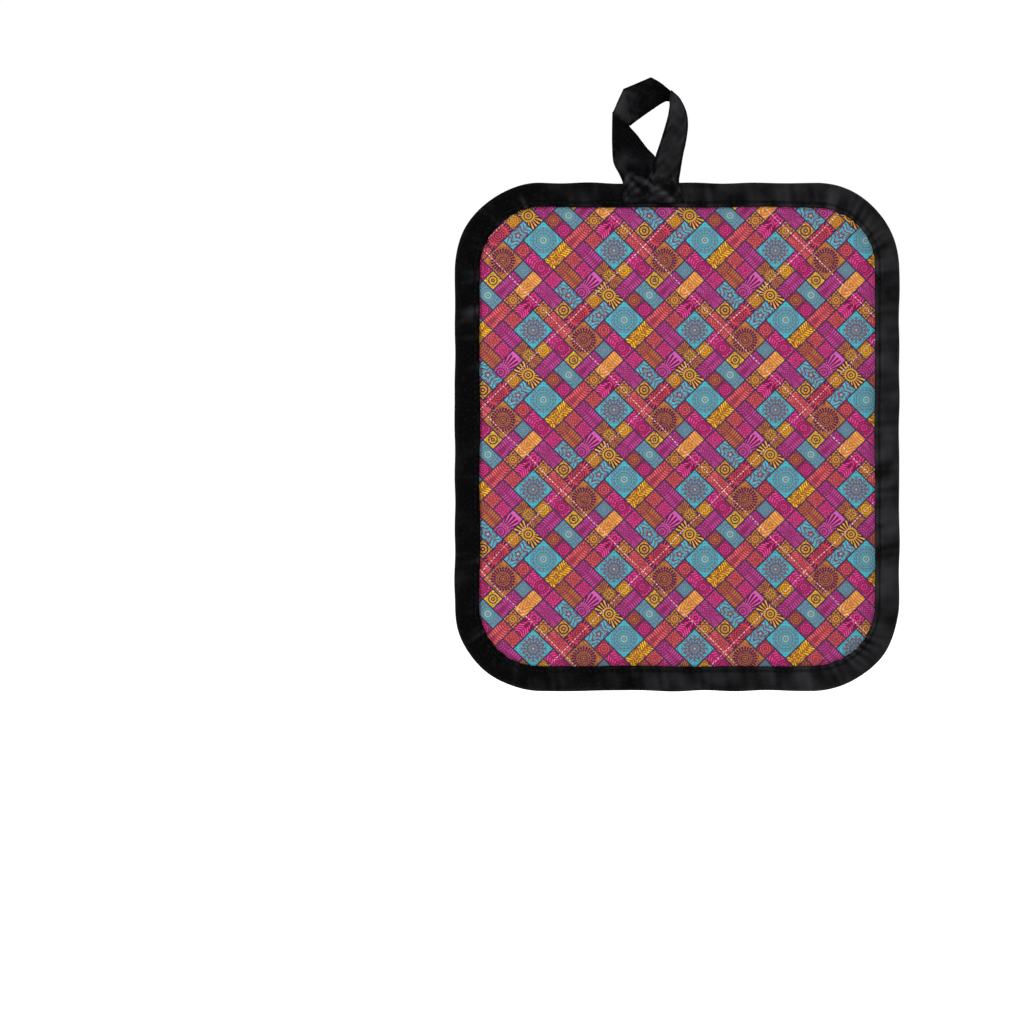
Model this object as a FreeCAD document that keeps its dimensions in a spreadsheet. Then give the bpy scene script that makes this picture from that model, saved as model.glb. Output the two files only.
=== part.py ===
import FreeCAD, Part

import math
import os
import sys

import Sketcher

# A quilted pot holder, hanging upright by its loop. The frame is +X to the holder's right as it is
# looked at, -Y towards the printed front and +Z up. The origin is the top of the loop's eye, where a
# hook carries it. Sizes are in millimetres.
DIMENSIONS = [
    # alias, value, what it is
    ("pad_width", 200.0, "overall width of the pad"),
    ("pad_height", 228.6, "overall height of the pad, without the loop"),
    ("pad_shift", 4.5, "how far the pad's middle stands to the right of the eye"),
    ("eye_drop", 37.1, "from the top of the eye down to the pad's top edge"),
    ("radius_top_left", 39.0, "corner radius"),
    ("radius_top_right", 38.0, "corner radius"),
    ("radius_bottom_left", 38.0, "corner radius"),
    ("radius_bottom_right", 39.0, "corner radius"),
    ("binding_width", 10.8, "how far the binding reaches over each face"),
    ("binding_tape", 0.9, "thickness of the folded binding tape on each face"),
    ("binding_rounding", 2.6, "rounding of the binding's outer edge"),
    ("edge_depth", 5.0, "thickness of the wadding where the binding grips it"),
    ("quilt_depth", 7.6, "thickness of the wadding in the open field"),
    ("swell_run", 9.0, "width of the slope from the binding up to the field"),
    ("cloth", 0.5, "thickness of each cover"),
    ("fit_gap", 0.15, "room between the edge of the layers and the fold of the binding"),
    ("thread", 0.5, "width of a line of stitches"),
    ("stitch_depth", 0.3, "how deep the stitches pull into the cloth"),
    ("quilt_pitch", 51.5, "spacing of the quilting rows, square to the rows"),
    ("rising_start", 19.7, "first rising row, up and left of the pad's middle"),
    ("falling_start", -2.2, "first falling row, up and right of the pad's middle"),
    ("binding_seam_inset", 9.2, "binding stitching, from the pad's outer edge"),
    ("fold_drop", 0.0, "how far below the pad's middle the fold line runs"),
    ("fold_gap", 0.2, "room left on each side of the fold line"),
    ("hinge_gap", 0.3, "room between the back of the pad and the fold's axis"),
    ("loop_tape", 1.6, "thickness of the folded loop tape"),
    ("loop_seat", 1.3, "height of the loop's hinge line above the pad's top edge"),
    ("loop_left", -24.9, "left edge of the loop"),
    ("loop_flank_drop", 23.0, "where the left edge turns in to the foot, below the eye's top"),
    ("loop_shoulder_drop", 5.5, "where the left edge turns in to the brow, below the eye's top"),
    ("loop_brow_across", -18.6, "place of the brow, left of the peak"),
    ("loop_brow_rise", 4.6, "height of the brow above the eye's top"),
    ("loop_peak_across", -7.1, "place of the loop's peak"),
    ("loop_peak_rise", 10.7, "height of the loop's peak above the eye's top"),
    ("loop_right", 9.6, "right edge of the loop"),
    ("loop_right_drop", 11.0, "widest point on the right, below the eye's top"),
    ("loop_right_radius", 18.0, "rounding of the loop's right side"),
    ("loop_flank_radius", 7.0, "rounding of the lower left side"),
    ("loop_corner", 1.5, "rounding of the creased corners at the top"),
    ("loop_foot_left", -19.9, "left edge of the loop at the seam"),
    ("loop_foot_right", 5.4, "right edge of the loop at the seam"),
    ("loop_foot_corner", 1.5, "rounding of the loop's feet"),
    ("eye_corner", 1.2, "rounding of the eye's three corners"),
    ("eye_left", -16.4, "left corner of the eye"),
    ("eye_left_drop", 11.5, "left corner of the eye, below its top"),
    ("eye_foot", -5.0, "bottom corner of the eye"),
    ("eye_foot_drop", 25.7, "bottom corner of the eye, below its top"),
    ("tack_length", 24.0, "length of the bar tack over the loop's feet"),
    ("tack_height", 1.2, "height of the bar tack"),
    ("tack_drop", 6.6, "bar tack below the pad's top edge"),
]

doc = FreeCAD.newDocument("pot_holder")
sheet = doc.addObject("Spreadsheet::Sheet", "sizes")
for row, (alias, value, meaning) in enumerate(DIMENSIONS, start=1):
    sheet.set(f"A{row}", alias)
    sheet.set(f"B{row}", str(value))
    sheet.setAlias(f"B{row}", alias)
    sheet.set(f"C{row}", meaning)
doc.recompute()

HALF_BINDING = "(sizes.edge_depth / 2 + sizes.cloth + sizes.binding_tape)"
HALF_FIELD = "(sizes.quilt_depth / 2 + sizes.cloth)"
PAD_MIDDLE = "(-sizes.eye_drop - sizes.pad_height / 2)"
FOLD_HEIGHT = "(-sizes.eye_drop - sizes.pad_height / 2 - sizes.fold_drop)"
LOOP_HINGE = "(-sizes.eye_drop + sizes.loop_seat)"
REACH = "(sizes.pad_width + sizes.pad_height)"


def origin_plane(body, role):
    """The body's own origin plane of that role, such as XZ_Plane."""
    return next(f for f in body.Origin.OriginFeatures if f.Role == role)


def rounded_outline(sketch, corners):
    """Draw arcs about the given centres, taken anticlockwise, and the lines that touch each pair of arcs.

    Each corner is (across, up, radius), three expressions on the sheet. A line that touches two
    arcs from outside runs square to a direction that makes the same angle with both arcs.
    """
    known = [[float(sketch.evalExpression(e)) for e in corner] for corner in corners]
    touch = []
    for (x0, z0, r0), (x1, z1, r1) in zip(known, known[1:] + known[:1]):
        apart = math.hypot(x1 - x0, z1 - z0)
        touch.append(math.atan2(z1 - z0, x1 - x0) - math.acos((r0 - r1) / apart))
    count = len(known)
    up = FreeCAD.Vector(0, 0, 1)
    for n, (x, z, r) in enumerate(known):
        circle = Part.Circle(FreeCAD.Vector(x, z, 0), up, r)
        sketch.addGeometry(Part.ArcOfCircle(circle, touch[n - 1], touch[n]), False)
    for n, (x, z, r) in enumerate(known):
        x2, z2, r2 = known[(n + 1) % count]
        side = FreeCAD.Vector(math.cos(touch[n]), math.sin(touch[n]), 0)
        start = FreeCAD.Vector(x, z, 0) + side * r
        end = FreeCAD.Vector(x2, z2, 0) + side * r2
        sketch.addGeometry(Part.LineSegment(start, end), False)
    for n in range(count):
        sketch.addConstraint(Sketcher.Constraint("Tangent", n, 2, count + n, 1))
        sketch.addConstraint(Sketcher.Constraint("Tangent", count + n, 2, (n + 1) % count, 1))
    for n, (x, z, r) in enumerate(known):
        for kind, value, expression in zip(("DistanceX", "DistanceY"), (x, z), corners[n]):
            place = sketch.addConstraint(Sketcher.Constraint(kind, -1, 1, n, 3, value))
            sketch.setExpression(f"Constraints[{place}]", expression)
        size = sketch.addConstraint(Sketcher.Constraint("Radius", n, r))
        sketch.setExpression(f"Constraints[{size}]", corners[n][2])


def pad_corners(inset):
    """The pad's four corners, with its outline drawn in by the inset."""
    half_width, half_height = "sizes.pad_width / 2", "sizes.pad_height / 2"
    corners = []
    for radius, across, up in (
        ("radius_bottom_left", "-", "-"),
        ("radius_bottom_right", "+", "-"),
        ("radius_top_right", "+", "+"),
        ("radius_top_left", "-", "+"),
    ):
        corners.append(
            (
                f"sizes.pad_shift {across} ({half_width} - sizes.{radius})",
                f"{PAD_MIDDLE} {up} ({half_height} - sizes.{radius})",
                f"sizes.{radius} - ({inset})",
            )
        )
    return corners


def new_body(name):
    """An empty body whose label is its name."""
    body = doc.addObject("PartDesign::Body", name)
    body.Label = name
    return body


def outline_in(body, name, corners, back="0"):
    """A sketch of rounded corners in a body, parallel to XZ and moved back along Y."""
    sketch = body.newObject("Sketcher::SketchObject", name)
    sketch.AttachmentSupport = [(origin_plane(body, "XZ_Plane"), "")]
    sketch.MapMode = "FlatFace"
    sketch.setExpression("AttachmentOffset.Base.z", f"-({back})")
    doc.recompute()
    rounded_outline(sketch, corners)
    doc.recompute()
    return sketch


def pad(body, name, sketch, length):
    """Thicken a sketch equally to both sides."""
    feature = body.newObject("PartDesign::Pad", name)
    feature.Profile = sketch
    feature.Midplane = True
    feature.setExpression("Length", length)
    doc.recompute()
    return feature


def pocket(body, name, sketch, length):
    """Cut a sketch equally to both sides."""
    feature = body.newObject("PartDesign::Pocket", name)
    feature.Profile = sketch
    feature.Midplane = True
    feature.setExpression("Length", length)
    doc.recompute()
    return feature


def faces_across(shape):
    """Names of the flat faces that look along Y, either way."""
    found = []
    for n, face in enumerate(shape.Faces, start=1):
        if face.Surface.TypeId != "Part::GeomPlane":
            continue
        if abs(face.normalAt(0, 0).y) > 0.999:
            found.append(f"Face{n}")
    return found


def moved_copy(name, source, back):
    """The same shape, moved back along Y."""
    link = doc.addObject("Part::Compound", name)
    link.Links = [source]
    link.setExpression("Placement.Base.y", back)
    return link


def cut(name, base, tool):
    """The base without the tool."""
    feature = doc.addObject("Part::Cut", name)
    feature.Base, feature.Tool = base, tool
    feature.Label = name
    return feature


def together(name, sources):
    """Several shapes as one tool."""
    feature = doc.addObject("Part::MultiFuse", name)
    feature.Shapes = sources
    return feature


def common(name, base, tool):
    """What the base and the tool share."""
    feature = doc.addObject("Part::MultiCommon", name)
    feature.Shapes = [base, tool]
    feature.Label = name
    return feature


# The layers' shared shape: flat at the edge, where the binding grips it, and swelling to the field.
LAYER_INSET = "sizes.binding_tape + sizes.fit_gap"
FIELD_INSET = "sizes.binding_width + sizes.fit_gap"
core = new_body("core")
edge_sketch = outline_in(core, "core_edge", pad_corners(LAYER_INSET))
pad(core, "core_slab", edge_sketch, "sizes.edge_depth")
for side, sign in (("front", "-"), ("back", "+")):
    low = outline_in(core, f"{side}_foot", pad_corners(FIELD_INSET), f"{sign}sizes.edge_depth / 2")
    high = outline_in(
        core,
        f"{side}_field",
        pad_corners(f"{FIELD_INSET} + sizes.swell_run"),
        f"{sign}sizes.quilt_depth / 2",
    )
    swell = core.newObject("PartDesign::AdditiveLoft", f"{side}_swell")
    swell.Profile = low
    swell.Sections = [(high, [""])]
    swell.Ruled = True
    doc.recompute()


def half_space(name, above):
    """A block that holds everything above, or below, the fold line, short of it by the fold's gap."""
    block = doc.addObject("Part::Box", name)
    for side in ("Length", "Width", "Height"):
        block.setExpression(side, f"2 * {REACH}")
    block.setExpression("Placement.Base.x", f"-{REACH}")
    block.setExpression("Placement.Base.y", f"-{REACH}")
    if above:
        block.setExpression("Placement.Base.z", f"{FOLD_HEIGHT} + sizes.fold_gap")
    else:
        block.setExpression("Placement.Base.z", f"{FOLD_HEIGHT} - sizes.fold_gap - 2 * {REACH}")
    return block


# The wadding is one sheet, divided here at the fold line so that each half is a rigid body.
wadding_upper = common("wadding_upper", core, half_space("above_fold", True))
wadding_lower = common("wadding_lower", core, half_space("below_fold", False))

# Each cover is the layer that a cloth's thickness adds to one face of the wadding.
front_outside = moved_copy("front_outside", core, "-sizes.cloth")
back_outside = moved_copy("back_outside", core, "sizes.cloth")

# The binding is a tape folded over the edge: a rounded ring with a channel for the layers inside it.
folded_tape = new_body("folded_tape")
ring_sketch = outline_in(folded_tape, "binding_outline", pad_corners("0"))
ring = pad(folded_tape, "binding_ring", ring_sketch, f"2 * {HALF_BINDING}")
rounding = folded_tape.newObject("PartDesign::Fillet", "binding_fold")
rounding.Base = (ring, faces_across(ring.Shape))
rounding.setExpression("Radius", "sizes.binding_rounding")
doc.recompute()
channel_sketch = outline_in(folded_tape, "channel_outline", pad_corners("sizes.binding_tape"))
pocket(folded_tape, "channel", channel_sketch, "sizes.edge_depth + 2 * sizes.cloth")
window_sketch = outline_in(folded_tape, "window_outline", pad_corners("sizes.binding_width"))
pocket(folded_tape, "window", window_sketch, f"4 * {HALF_BINDING}")

# The binding's stitching: one line of thread on each face, a little outside the binding's inner edge
# and pulled flush into the tape.
binding_threads = []
for side, sign in (("needle", "-"), ("bobbin", "+")):
    body = new_body(f"binding_{side}_thread")
    middle = f"{sign}({HALF_BINDING} - sizes.stitch_depth / 2)"
    outer = outline_in(
        body,
        f"binding_{side}_outer",
        pad_corners("sizes.binding_seam_inset - sizes.thread / 2"),
        middle,
    )
    inner = outline_in(
        body,
        f"binding_{side}_inner",
        pad_corners("sizes.binding_seam_inset + sizes.thread / 2"),
        middle,
    )
    pad(body, f"binding_{side}_line", outer, "sizes.stitch_depth")
    pocket(body, f"binding_{side}_window", inner, "2 * sizes.stitch_depth")
    binding_threads.append(body)
edge_binding = cut("edge_binding", folded_tape, together("binding_stitching", binding_threads))

# The quilting: rows of thread along both diagonals of the field, pulled flush into the covers. The
# needle thread shows on the front and the bobbin thread on the back.
field_body = new_body("open_field")
field_sketch = outline_in(field_body, "open_field_outline", pad_corners(FIELD_INSET))
pad(field_body, "open_field_block", field_sketch, f"4 * {HALF_FIELD}")


def row_block(name, rising, place):
    """A thin block along one diagonal row, whose middle is that far from the pad's, square to the row."""
    block = doc.addObject("Part::Box", name)
    turn = -45 if rising else 45
    slope = 1 if rising else -1
    block.setExpression("Length", REACH)
    block.setExpression("Width", f"4 * {HALF_FIELD}")
    block.setExpression("Height", "sizes.thread")
    block.Placement.Rotation = FreeCAD.Rotation(FreeCAD.Vector(0, 1, 0), turn)
    along, beside = f"{REACH} / 2 * sqrt(0.5)", f"(({place}) - sizes.thread / 2) * sqrt(0.5)"
    block.setExpression(
        "Placement.Base.x", f"sizes.pad_shift - {along} + ({-slope}) * {beside}"
    )
    block.setExpression("Placement.Base.y", f"-2 * {HALF_FIELD}")
    block.setExpression("Placement.Base.z", f"{PAD_MIDDLE} - ({slope}) * {along} + {beside}")
    return block


def quilting_rows(side, way):
    """All the rows that run one way over one face, as one shape.

    There are as many as the pad's diagonal holds, counted both ways from its middle.
    """
    half_diagonal = float(sheet.evalExpression(f"{REACH} / 2 * sqrt(0.5)"))
    last = math.ceil(half_diagonal / float(sheet.evalExpression("sizes.quilt_pitch")))
    blocks = []
    for n in range(-last, last + 1):
        place = f"sizes.{way}_start + ({n}) * sizes.quilt_pitch"
        blocks.append(row_block(f"{side}_{way}_{n + last}", way == "rising", place))
    return together(f"{side}_{way}_rows", blocks)


quilting = []
covers = []
for side, face, sign, outside in (
    ("needle", "front", "-", front_outside),
    ("bobbin", "back", "", back_outside),
):
    under = moved_copy(f"{side}_bed", core, f"{sign}(sizes.cloth - sizes.stitch_depth)")
    layer = common(f"{side}_layer", cut(f"{side}_skin", outside, under), field_body)
    rising_rows = quilting_rows(side, "rising")
    falling_rows = cut(f"{side}_falling_clear", quilting_rows(side, "falling"), rising_rows)
    rising_thread = common(f"quilting_{side}_rising", layer, rising_rows)
    falling_thread = common(f"quilting_{side}_falling", layer, falling_rows)
    threads = together(f"{side}_quilting", [rising_thread, falling_thread])
    covers.append(cut(f"{face}_cover", cut(f"{face}_cloth", outside, core), threads))
    quilting += [rising_thread, falling_thread]

# The hanging loop: a folded tape laid round a three-cornered eye, with its feet at the pad's top edge.
hanging_loop = new_body("hanging_loop")
LOOP_FOOT = f"({LOOP_HINGE} - sizes.loop_tape / 2)"
loop_corners = [
    (
        "sizes.loop_foot_left + sizes.loop_foot_corner",
        f"{LOOP_FOOT} + sizes.loop_foot_corner",
        "sizes.loop_foot_corner",
    ),
    (
        "sizes.loop_foot_right - sizes.loop_foot_corner",
        f"{LOOP_FOOT} + sizes.loop_foot_corner",
        "sizes.loop_foot_corner",
    ),
    (
        "sizes.loop_right - sizes.loop_right_radius",
        "-sizes.loop_right_drop",
        "sizes.loop_right_radius",
    ),
    (
        "sizes.loop_peak_across",
        "sizes.loop_peak_rise - sizes.loop_corner",
        "sizes.loop_corner",
    ),
    ("sizes.loop_brow_across", "sizes.loop_brow_rise", "sizes.loop_corner"),
    (
        "sizes.loop_left + sizes.loop_corner",
        "-sizes.loop_shoulder_drop",
        "sizes.loop_corner",
    ),
    (
        "sizes.loop_left + sizes.loop_flank_radius",
        "-sizes.loop_flank_drop",
        "sizes.loop_flank_radius",
    ),
]
loop_sketch = outline_in(hanging_loop, "loop_outline", loop_corners)
pad(hanging_loop, "loop_band", loop_sketch, "sizes.loop_tape")
eye_corners = [
    ("0", "-sizes.eye_corner", "sizes.eye_corner"),
    (
        "sizes.eye_left + sizes.eye_corner",
        "-sizes.eye_left_drop",
        "sizes.eye_corner",
    ),
    (
        "sizes.eye_foot",
        "-sizes.eye_foot_drop + sizes.eye_corner",
        "sizes.eye_corner",
    ),
]
eye_sketch = outline_in(hanging_loop, "eye_outline", eye_corners)
pocket(hanging_loop, "eye", eye_sketch, "2 * sizes.loop_tape")

# The bar tack: a close bar of thread that ties the loop's feet down on the front of the binding.
loop_bartack = doc.addObject("Part::Box", "loop_bartack")
loop_bartack.Label = "loop_bartack"
loop_bartack.setExpression("Length", "sizes.tack_length")
loop_bartack.setExpression("Width", "sizes.thread")
loop_bartack.setExpression("Height", "sizes.tack_height")
loop_bartack.setExpression(
    "Placement.Base.x",
    "(sizes.loop_foot_left + sizes.loop_foot_right - sizes.tack_length) / 2",
)
loop_bartack.setExpression("Placement.Base.y", f"-{HALF_BINDING} - sizes.thread")
loop_bartack.setExpression(
    "Placement.Base.z",
    "-sizes.eye_drop - sizes.tack_drop - sizes.tack_height / 2",
)

doc.recompute()
SUB_PARTS = [
    *covers,
    wadding_upper,
    wadding_lower,
    edge_binding,
    *binding_threads,
    *quilting,
    hanging_loop,
    loop_bartack,
]

problems = []
for thing in doc.Objects:
    if "Invalid" in thing.State or "Error" in thing.State:
        problems.append(f"{thing.Name} is {', '.join(thing.State)}")
for part in SUB_PARTS:
    if part.Shape.isNull() or not part.Shape.isValid() or part.Shape.Volume <= 0:
        problems.append(f"{part.Label} has no valid solid")
if problems:
    sys.exit("\n".join(problems))

os.makedirs("parts", exist_ok=True)
for part in SUB_PARTS:
    part.Shape.exportStep(os.path.join("parts", f"{part.Label}.step"))
    box = part.Shape.BoundBox
    print(
        f"{part.Label}: {len(part.Shape.Solids)} solid(s), {part.Shape.Volume:.1f} mm3, "
        f"x {box.XMin:.2f} to {box.XMax:.2f}, y {box.YMin:.2f} to {box.YMax:.2f}, "
        f"z {box.ZMin:.2f} to {box.ZMax:.2f}"
    )
axis_depth = float(sheet.evalExpression(f"{HALF_FIELD} + sizes.hinge_gap"))
fold_height = float(sheet.evalExpression(FOLD_HEIGHT))
loop_height = float(sheet.evalExpression(LOOP_HINGE))
print(f"pad fold axis: y {axis_depth:.2f}, z {fold_height:.2f}")
print(f"loop hinge axis: y 0.00, z {loop_height:.2f}")
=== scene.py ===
import bpy
import numpy as np
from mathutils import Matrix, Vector


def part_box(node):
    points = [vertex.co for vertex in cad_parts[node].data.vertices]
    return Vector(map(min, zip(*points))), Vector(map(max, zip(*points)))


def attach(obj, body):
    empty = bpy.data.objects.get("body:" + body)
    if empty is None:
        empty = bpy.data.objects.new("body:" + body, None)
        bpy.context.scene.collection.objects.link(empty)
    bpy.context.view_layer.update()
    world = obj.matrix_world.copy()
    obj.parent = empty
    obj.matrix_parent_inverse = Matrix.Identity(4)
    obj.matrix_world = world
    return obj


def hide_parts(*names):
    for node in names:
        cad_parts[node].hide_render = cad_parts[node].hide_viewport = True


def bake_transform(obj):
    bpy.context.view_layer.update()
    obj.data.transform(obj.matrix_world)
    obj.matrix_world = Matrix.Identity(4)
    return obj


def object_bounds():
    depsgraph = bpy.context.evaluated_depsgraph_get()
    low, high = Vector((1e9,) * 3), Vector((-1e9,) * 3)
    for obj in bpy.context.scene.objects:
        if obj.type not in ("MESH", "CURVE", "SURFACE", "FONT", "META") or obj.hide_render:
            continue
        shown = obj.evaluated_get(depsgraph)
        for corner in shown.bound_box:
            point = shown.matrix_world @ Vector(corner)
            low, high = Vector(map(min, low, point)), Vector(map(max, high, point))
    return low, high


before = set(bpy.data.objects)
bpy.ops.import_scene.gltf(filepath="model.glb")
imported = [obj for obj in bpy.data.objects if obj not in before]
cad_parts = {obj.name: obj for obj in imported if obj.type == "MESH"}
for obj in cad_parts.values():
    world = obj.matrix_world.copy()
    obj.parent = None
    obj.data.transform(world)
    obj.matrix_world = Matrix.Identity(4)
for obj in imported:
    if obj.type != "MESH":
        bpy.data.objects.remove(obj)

cad_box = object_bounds()

# ---------------------------------------------------------------- wadding
# One sheet of heat-resisting needled fibre, off-white, cut to the pad's outline. The quilting rows and
# the bound edge press it thin, and it swells between them, which gives the whole pad its shape.

pad_low, pad_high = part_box("edge_binding")
middle_x = (pad_low.x + pad_high.x) / 2
middle_z = (pad_low.z + pad_high.z) / 2
half_width = (pad_high.x - pad_low.x) / 2
half_height = (pad_high.z - pad_low.z) / 2
top_left_radius = 0.039
top_right_radius = 0.038
bottom_left_radius = 0.038
bottom_right_radius = 0.039
row_pitch = 0.0515
rising_offset = 0.0197
falling_offset = -0.0022
seam_inset = 0.0092
edge_half = 0.0025
row_half = 0.0031
swell_height = 0.0024
swell_run = 0.0070
field_inset = 0.0106
cells_per_row = 22
start_swell = 0.0008
swell_limit = 1.3
swell_top_share = 92
swell_start_run = 0.004
cell = row_pitch / cells_per_row
cells_out = int(np.hypot(half_width, half_height) / cell) + 3
bag_margin = 0.001
bag_pressure = 60
bag_mass = 0.05
bag_damping = 5
bag_slack = 0.015
bag_quality = 5
bag_moments = 20
ripple_height = 0.00013
ripple_reach = 0.0035
ripple_run = 0.31
ripple_row_shift = 0.13
ripple_waves = (42, 78)
slow_height = 0.00025
slow_run = 0.42
slow_rise = 0.45
slow_waves_x = (4, 9)
slow_waves_z = (3, 8)
fibre_gap = 0.0013
fibre_inset = 0.0035
fuzz_height = 0.00012


def depth_inside(x, z):
    """How far a point lies inside the pad's cut edge, below nought outside it.
    Past both ends of a corner's arc it is the arc's radius less the distance to its centre, and elsewhere
    the distance to the nearer side."""
    right = x > middle_x
    top_radius = np.where(right, top_right_radius, top_left_radius)
    bottom_radius = np.where(right, bottom_right_radius, bottom_left_radius)
    radius = np.where(z > middle_z, top_radius, bottom_radius)
    over_x = np.abs(x - middle_x) - half_width + radius
    over_z = np.abs(z - middle_z) - half_height + radius
    round_part = np.hypot(np.maximum(over_x, 0), np.maximum(over_z, 0))
    straight_part = np.minimum(np.maximum(over_x, over_z), 0)
    return radius - round_part - straight_part


def across_rows(x, z):
    """Distances of a point across the falling rows and across the rising rows, each nought on one row:
    the sum and the difference of its offsets from the middle, over the root of two, less the rows' offset."""
    across_falling = ((x - middle_x) + (z - middle_z)) / np.sqrt(2) - falling_offset
    across_rising = ((z - middle_z) - (x - middle_x)) / np.sqrt(2) - rising_offset
    return across_falling, across_rising


def from_rows(across_falling, across_rising):
    """The place in the pad's plane with these distances across the two sets of rows: across_rows undone."""
    total = (across_falling + falling_offset) * np.sqrt(2)
    difference = (across_rising + rising_offset) * np.sqrt(2)
    return middle_x + (total - difference) / 2, middle_z + (total + difference) / 2


def ease(value):
    """From 0 to 1 with a smooth start and end: three times the square less twice the cube of the value, held
    to that range."""
    held = np.clip(value, 0, 1)
    return held * held * (3 - 2 * held)


def wander(turn, first, last, seed):
    """An uneven wave that closes on itself: sines with first to last whole waves in a turn, at phases drawn
    from the seed, added and brought to about one in height."""
    waves = np.arange(first, last + 1)
    phases = np.random.default_rng(seed).uniform(0, 2 * np.pi, len(waves))
    total = np.sin(2 * np.pi * np.multiply.outer(turn, waves) + phases).sum(-1)
    return total / np.sqrt(len(waves))


def make_piece(name, points, faces, places=None):
    """A mesh at the origin from an array of points and an array of four-cornered faces, smooth, with the
    cloth's own flat places, where given, as its UV map."""
    mesh = bpy.data.meshes.new(name)
    mesh.from_pydata(points, [], faces)
    if places is not None:
        corners = np.zeros(len(mesh.loops), np.int32)
        mesh.loops.foreach_get("vertex_index", corners)
        layer = mesh.uv_layers.new(name="cloth")
        layer.uv.foreach_set("vector", places[corners].astype(np.float32).ravel())
    mesh.polygons.foreach_set("use_smooth", np.ones(len(mesh.polygons), bool))
    mesh.update()
    piece = bpy.data.objects.new(name, mesh)
    bpy.context.scene.collection.objects.link(piece)
    return piece


def kept_cells(kept):
    """Faces of a grid of points where all four corners are kept: an array of corner numbers, counted among
    the kept points only."""
    number = np.cumsum(kept.ravel()).reshape(kept.shape) - 1
    whole = kept[:-1, :-1] & kept[1:, :-1] & kept[1:, 1:] & kept[:-1, 1:]
    corners = (number[:-1, :-1], number[1:, :-1], number[1:, 1:], number[:-1, 1:])
    return np.stack([corner[whole] for corner in corners], 1)


def two_sided(faces, count):
    """Faces of a closed sheet: the outer faces, the same faces turned over on the inner points, which follow
    the outer ones in the list, and a rim along every edge that only one face has."""
    start = faces.ravel()
    end = np.roll(faces, -1, 1).ravel()
    lone = ~np.isin(start * count + end, end * count + start)
    rim = np.stack([end[lone], start[lone], start[lone] + count, end[lone] + count], 1)
    return np.concatenate([faces, faces[:, ::-1] + count, rim])


def sewn_swell(across_falling, across_rising, depth):
    """A plain swelling between the sewn rows, the same on both faces and one at its highest: the root of the
    product of two half sines between the rows, run out to nothing at the edge's seam."""
    waves = np.sin(np.pi * across_falling / row_pitch) * np.sin(np.pi * across_rising / row_pitch)
    swell = np.sqrt(np.abs(waves)) * ease((depth - field_inset) / swell_run)
    return np.stack([swell, swell])


def blown_pad(across_falling, across_rising, depth):
    """The swelling of the pad's two faces between the sewn rows, from one cloth simulation. A bag with a
    face each side, hardly swollen yet, is held along every row and outside the edge's seam, its cloth a
    little larger than the bag, and pressure blows it up. Returns how far each face moved out, on the grid."""
    kept = depth > bag_margin
    faces = kept_cells(kept)
    x, z = from_rows(across_falling[kept], across_rising[kept])
    count = len(x)
    start = start_swell * sewn_swell(across_falling[kept], across_rising[kept], depth[kept])[0]
    flat = np.stack([x, -row_half - start, z], 1)
    back = flat * (1, -1, 1)
    bag_faces = np.concatenate([faces, faces[:, ::-1] + count])
    bag = make_piece("sewn_bag", np.concatenate([flat, back]), bag_faces)
    steps = np.indices(depth.shape) - cells_out
    on_row = (steps % cells_per_row == 0).any(0) | (depth < seam_inset)
    held = np.flatnonzero(on_row[kept])
    sewn = bag.vertex_groups.new(name="sewn")
    sewn.add(np.concatenate([held, held + count]).tolist(), 1.0, "REPLACE")
    cloth = bag.modifiers.new("Cloth", "CLOTH")
    cloth.settings.vertex_group_mass = "sewn"
    cloth.settings.effector_weights.gravity = 0
    cloth.settings.use_pressure = True
    cloth.settings.uniform_pressure_force = bag_pressure
    cloth.settings.mass = bag_mass
    cloth.settings.air_damping = bag_damping
    cloth.settings.shrink_min = -bag_slack
    cloth.settings.quality = bag_quality
    for moment in range(1, bag_moments + 1):
        bpy.context.scene.frame_set(moment)
    blown = bag.evaluated_get(bpy.context.evaluated_depsgraph_get()).data
    moved = np.zeros(len(blown.vertices) * 3, np.float32)
    blown.vertices.foreach_get("co", moved)
    out = moved.reshape(2, count, 3)[..., 1] * np.array([[-1], [1]]) - row_half
    bpy.context.scene.frame_set(1)
    bpy.data.objects.remove(bag)
    swell = np.zeros((2,) + depth.shape)
    swell[:, kept] = out
    return swell


steps_out = np.arange(-cells_out, cells_out + 1) * cell
grid_falling, grid_rising = np.meshgrid(steps_out, steps_out, indexing="ij")
grid_x, grid_z = from_rows(grid_falling, grid_rising)
grid_depth = depth_inside(grid_x, grid_z)
swell_shape = blown_pad
swell_grid = swell_shape(grid_falling, grid_rising, grid_depth)
swell_top = np.percentile(swell_grid[:, grid_depth > 2 * seam_inset], swell_top_share)
swell_grid = swell_height * np.clip(swell_grid / swell_top, 0, swell_limit)
for axis in (1, 2):
    swell_grid = (np.roll(swell_grid, 1, axis) + 2 * swell_grid + np.roll(swell_grid, -1, axis)) / 4


def cubic_shares(part):
    """Shares of four evenly spaced values for a smooth cubic that passes through the middle two."""
    return (
        (-part + 2 * part**2 - part**3) / 2,
        (2 - 5 * part**2 + 3 * part**3) / 2,
        (part + 4 * part**2 - 3 * part**3) / 2,
        (part**3 - part**2) / 2,
    )


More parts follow.
